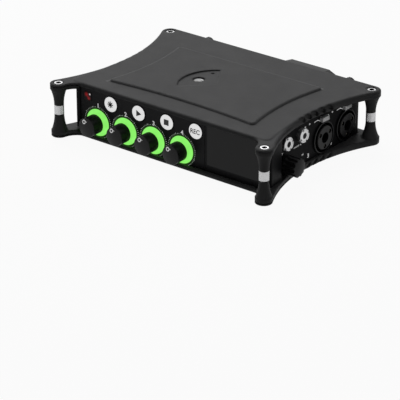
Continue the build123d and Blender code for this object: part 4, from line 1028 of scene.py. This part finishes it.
class RECORDER_OT_side_marks(bpy.types.Operator):
    """Print the socket numbers and the marks round the sockets of both sides"""

    bl_idname = "recorder.side_marks"
    bl_label = "Side printing"

    def execute(self, context):
        (low, high), inner, outer = PRINT, 0.25 * MM, 0.55 * MM
        dot = [(inner, low), (inner, high), (outer, high), (outer, low), (inner, low)]
        for face, (sign, numbers) in SIDES.items():
            shapes = []
            mirror = np.array([sign, 1]) * MM
            for number in numbers:
                _, y, up = span(f"latch_tab_{number}")[2]
                across = sign * y
                steps = GUIDE * mirror
                right, rise = np.diff(steps, axis=0).T
                middles = (steps[:-1] + steps[1:]) / 2 + (across, up)
                shapes.append(patch(face, middles, 0.32 * MM, np.hypot(right, rise) + 0.3 * MM,
                                    np.arctan2(right, rise)))
                shapes += [turned(face, across + step, up + rise, dot, steps=16)
                           for step, rise in DOTS * mirror]
                shapes.append(lettering(str(number), face, across - sign * 14.2 * MM, up - 18.3 * MM,
                                        2.4 * MM, weight=0.03))
                if face == "right":
                    shapes.append(lettering("IN", face, across - 19.6 * MM, up - 15.8 * MM, 1.2 * MM))
            shapes += [lettering(text, face, across * MM, up * MM, height * MM)
                       for text, across, up, height in LABELS[face]]
            piece(f"{face}_printing", merged(f"{face}_printing", shapes), plain("white_ink"), "chassis")
        return {"FINISHED"}


class RECORDER_OT_jack_nuts(bpy.types.Operator):
    """Build the slotted ring nuts of the small jacks"""

    bl_idname = "recorder.jack_nuts"
    bl_label = "Jack nuts"

    def execute(self, context):
        size = sockets()
        low, high, centre = span("jack_nuts")
        top, outer, bore = size.nut_height, size.nut_radius, size.nut_bore
        edge, lip = 0.45 * MM, 0.2 * MM
        notch_floor, notch_half = top - 1.0 * MM, 0.55 * MM
        profile = [(bore, 0), (outer, 0), (outer, top - edge), (outer - edge, top),
                   (outer - 0.6 * edge - 0.3 * MM, top), (bore + lip, top), (bore, top - lip), (bore, 0)]

        def notches(angle, radius, out):
            """Height cut down to the notches' floor where a point is near one of four radii."""
            away = np.abs((angle + np.pi / 4) % (np.pi / 2) - np.pi / 4) * radius
            return radius, np.where((away < notch_half) & (out > notch_floor), notch_floor, out)

        nuts = [turned("right", across, centre[2], profile, steps=144, wave=notches, start=0.4)
                for across in (low[1] + outer, high[1] - outer)]
        piece("jack_ring_nuts", joined(nuts), plain("satin_silver"), "chassis",
              replaces=["jack_nuts"])
        return {"FINISHED"}


class RECORDER_OT_contacts(bpy.types.Operator):
    """Build the sprung contact sleeves in the input sockets"""

    bl_idname = "recorder.contacts"
    bl_label = "Socket contacts"

    def execute(self, context):
        ring, outer, inner = 5.3 * MM, 1.26 * MM, 0.95 * MM
        top, deep = 0.6 * MM, -6 * MM
        profile = [(inner, deep), (inner, top - 0.15 * MM), (inner + 0.12 * MM, top), (outer, top),
                   (outer, deep), (inner, deep)]
        up = span("combo_inserts")[2][2]
        sleeves = []
        for face, (sign, numbers) in SIDES.items():
            for number in numbers:
                across = sign * span(f"latch_tab_{number}")[2][1]
                sleeves += [turned(face, across + ring * math.cos(turn), up + ring * math.sin(turn), profile,
                                   steps=24) for turn in np.radians([-90.0, 30.0, 150.0])]
        piece("socket_contacts", joined(sleeves), plain("contact_metal"), "chassis")
        return {"FINISHED"}


def seen_directly(tree):
    """1 for a ray from the camera, or one that a shiny or clear surface sends on; else 0."""
    ray = add(tree, "LightPath").outputs
    either = maths(tree, "MAXIMUM", ray["Is Camera Ray"], ray["Is Glossy Ray"])
    return maths(tree, "MAXIMUM", either, ray["Is Transmission Ray"])


def aimed(holder, place, direction):
    """Puts a lamp or camera in its place, looking in a direction."""
    holder.location = place
    holder.rotation_mode = "QUATERNION"
    holder.rotation_quaternion = Vector(direction).to_track_quat("-Z", "Y")


class RECORDER_OT_stage(bpy.types.Operator):
    """Add the floor, the lamps, the sky and the camera"""

    bl_idname = "recorder.stage"
    bl_label = "Floor, lamps and camera"

    def execute(self, context):
        stage = context.scene.recorder_stage
        self.add_floor(stage)
        for name, place, target, size, power in (
                ("top_lamp", (-0.6, 0.4, 0.95), (0, 0, 0), 1.0, stage.top_power),
                ("front_lamp", (0.7, -1.1, 0.35), (0, 0, 0.02), 0.5, stage.front_power)):
            lamp = bpy.data.lights.new(name, "AREA")
            lamp.size, lamp.energy = size, power
            aimed(linked(name, lamp), place, Vector(target) - Vector(place))
        self.add_sky(stage)
        self.add_camera(stage)
        return {"FINISHED"}

    @staticmethod
    def add_floor(stage):
        """A square sheet under the object, pale, that keeps a soft shadow."""
        reach = np.linspace(-3.0, 3.0, 9)
        points, quads = grid(placed("upright", reach[:, None], reach[None, :], -0.05 * MM))
        mesh = bpy.data.meshes.new("floor")
        mesh.from_pydata(points.tolist(), [], quads.tolist())
        material = bpy.data.materials.new("floor_paper")
        material.use_nodes = True
        tree = material.node_tree
        tree.nodes.remove(tree.nodes["Principled BSDF"])
        paper, bounce = (add(tree, "BsdfDiffuse", {"Color": shade_of(shade)}).outputs[0]
                         for shade in (stage.floor, stage.bounce))
        white = add(tree, "Emission", {"Color": (1, 1, 1, 1), "Strength": 1.0}).outputs[0]
        seen = add(tree, "MixShader", {0: 0.94, 1: paper, 2: white}).outputs[0]     # mostly plain white
        both = add(tree, "MixShader", {0: seen_directly(tree), 1: bounce, 2: seen}).outputs[0]
        tree.links.new(both, tree.nodes["Material Output"].inputs["Surface"])
        mesh.materials.append(material)
        floor = linked("floor", mesh)

    @staticmethod
    def add_sky(stage):
        world = bpy.context.scene.world = bpy.data.worlds.new("sky")
        world.use_nodes = True
        tree = world.node_tree
        background = tree.nodes["Background"].inputs
        background["Color"].default_value = (1, 1, 1, 1)
        tree.links.new(ramp(tree, seen_directly(tree), 0.0, 1.0, stage.sky, 1.0), background["Strength"])

    @staticmethod
    def add_camera(stage):
        camera = bpy.data.cameras.new("camera")
        camera.lens = stage.lens
        camera.sensor_width = 36.0
        camera.clip_start, camera.clip_end = 0.05, 20.0
        holder = bpy.context.scene.camera = linked("camera", camera)
        aimed(holder, stage.camera, (-0.55708, 0.70933, -0.43187))
        bpy.context.scene.view_settings.view_transform = "Standard"


OPERATORS = (RECORDER_OT_case, RECORDER_OT_collars, RECORDER_OT_inserts, RECORDER_OT_knobs,
             RECORDER_OT_phone_knob, RECORDER_OT_rings, RECORDER_OT_buttons, RECORDER_OT_scales,
             RECORDER_OT_side_marks, RECORDER_OT_jack_nuts, RECORDER_OT_contacts, RECORDER_OT_stage)
GROUPS = {"recorder_finishes": RecorderFinishes, "recorder_controls": RecorderControls,
          "recorder_sockets": RecorderSockets, "recorder_stage": RecorderStage}


class RECORDER_PT_panel(bpy.types.Panel):
    """Sizes, colours and operators of the recorder"""

    bl_idname = "RECORDER_PT_panel"
    bl_label = "Field Recorder"
    bl_space_type = "VIEW_3D"
    bl_region_type = "UI"
    bl_category = "Recorder"

    def draw(self, context):
        for key, group in GROUPS.items():
            box = self.layout.box()
            box.label(text=group.__doc__)
            for name in group.__annotations__:
                box.prop(getattr(context.scene, key), name)
        for operator in OPERATORS:
            self.layout.operator(operator.bl_idname)


def register():
    for made in (*GROUPS.values(), *OPERATORS, RECORDER_PT_panel):
        bpy.utils.register_class(made)
    for key, group in GROUPS.items():
        setattr(bpy.types.Scene, key, PointerProperty(type=group))


def unregister():
    for key in GROUPS:
        delattr(bpy.types.Scene, key)
    for made in (RECORDER_PT_panel, *reversed(OPERATORS), *GROUPS.values()):
        bpy.utils.unregister_class(made)


def main():
    register()
    for operator in OPERATORS:
        category, name = operator.bl_idname.split(".")
        getattr(getattr(bpy.ops, category), name)()


if __name__ == "__main__":
    main()
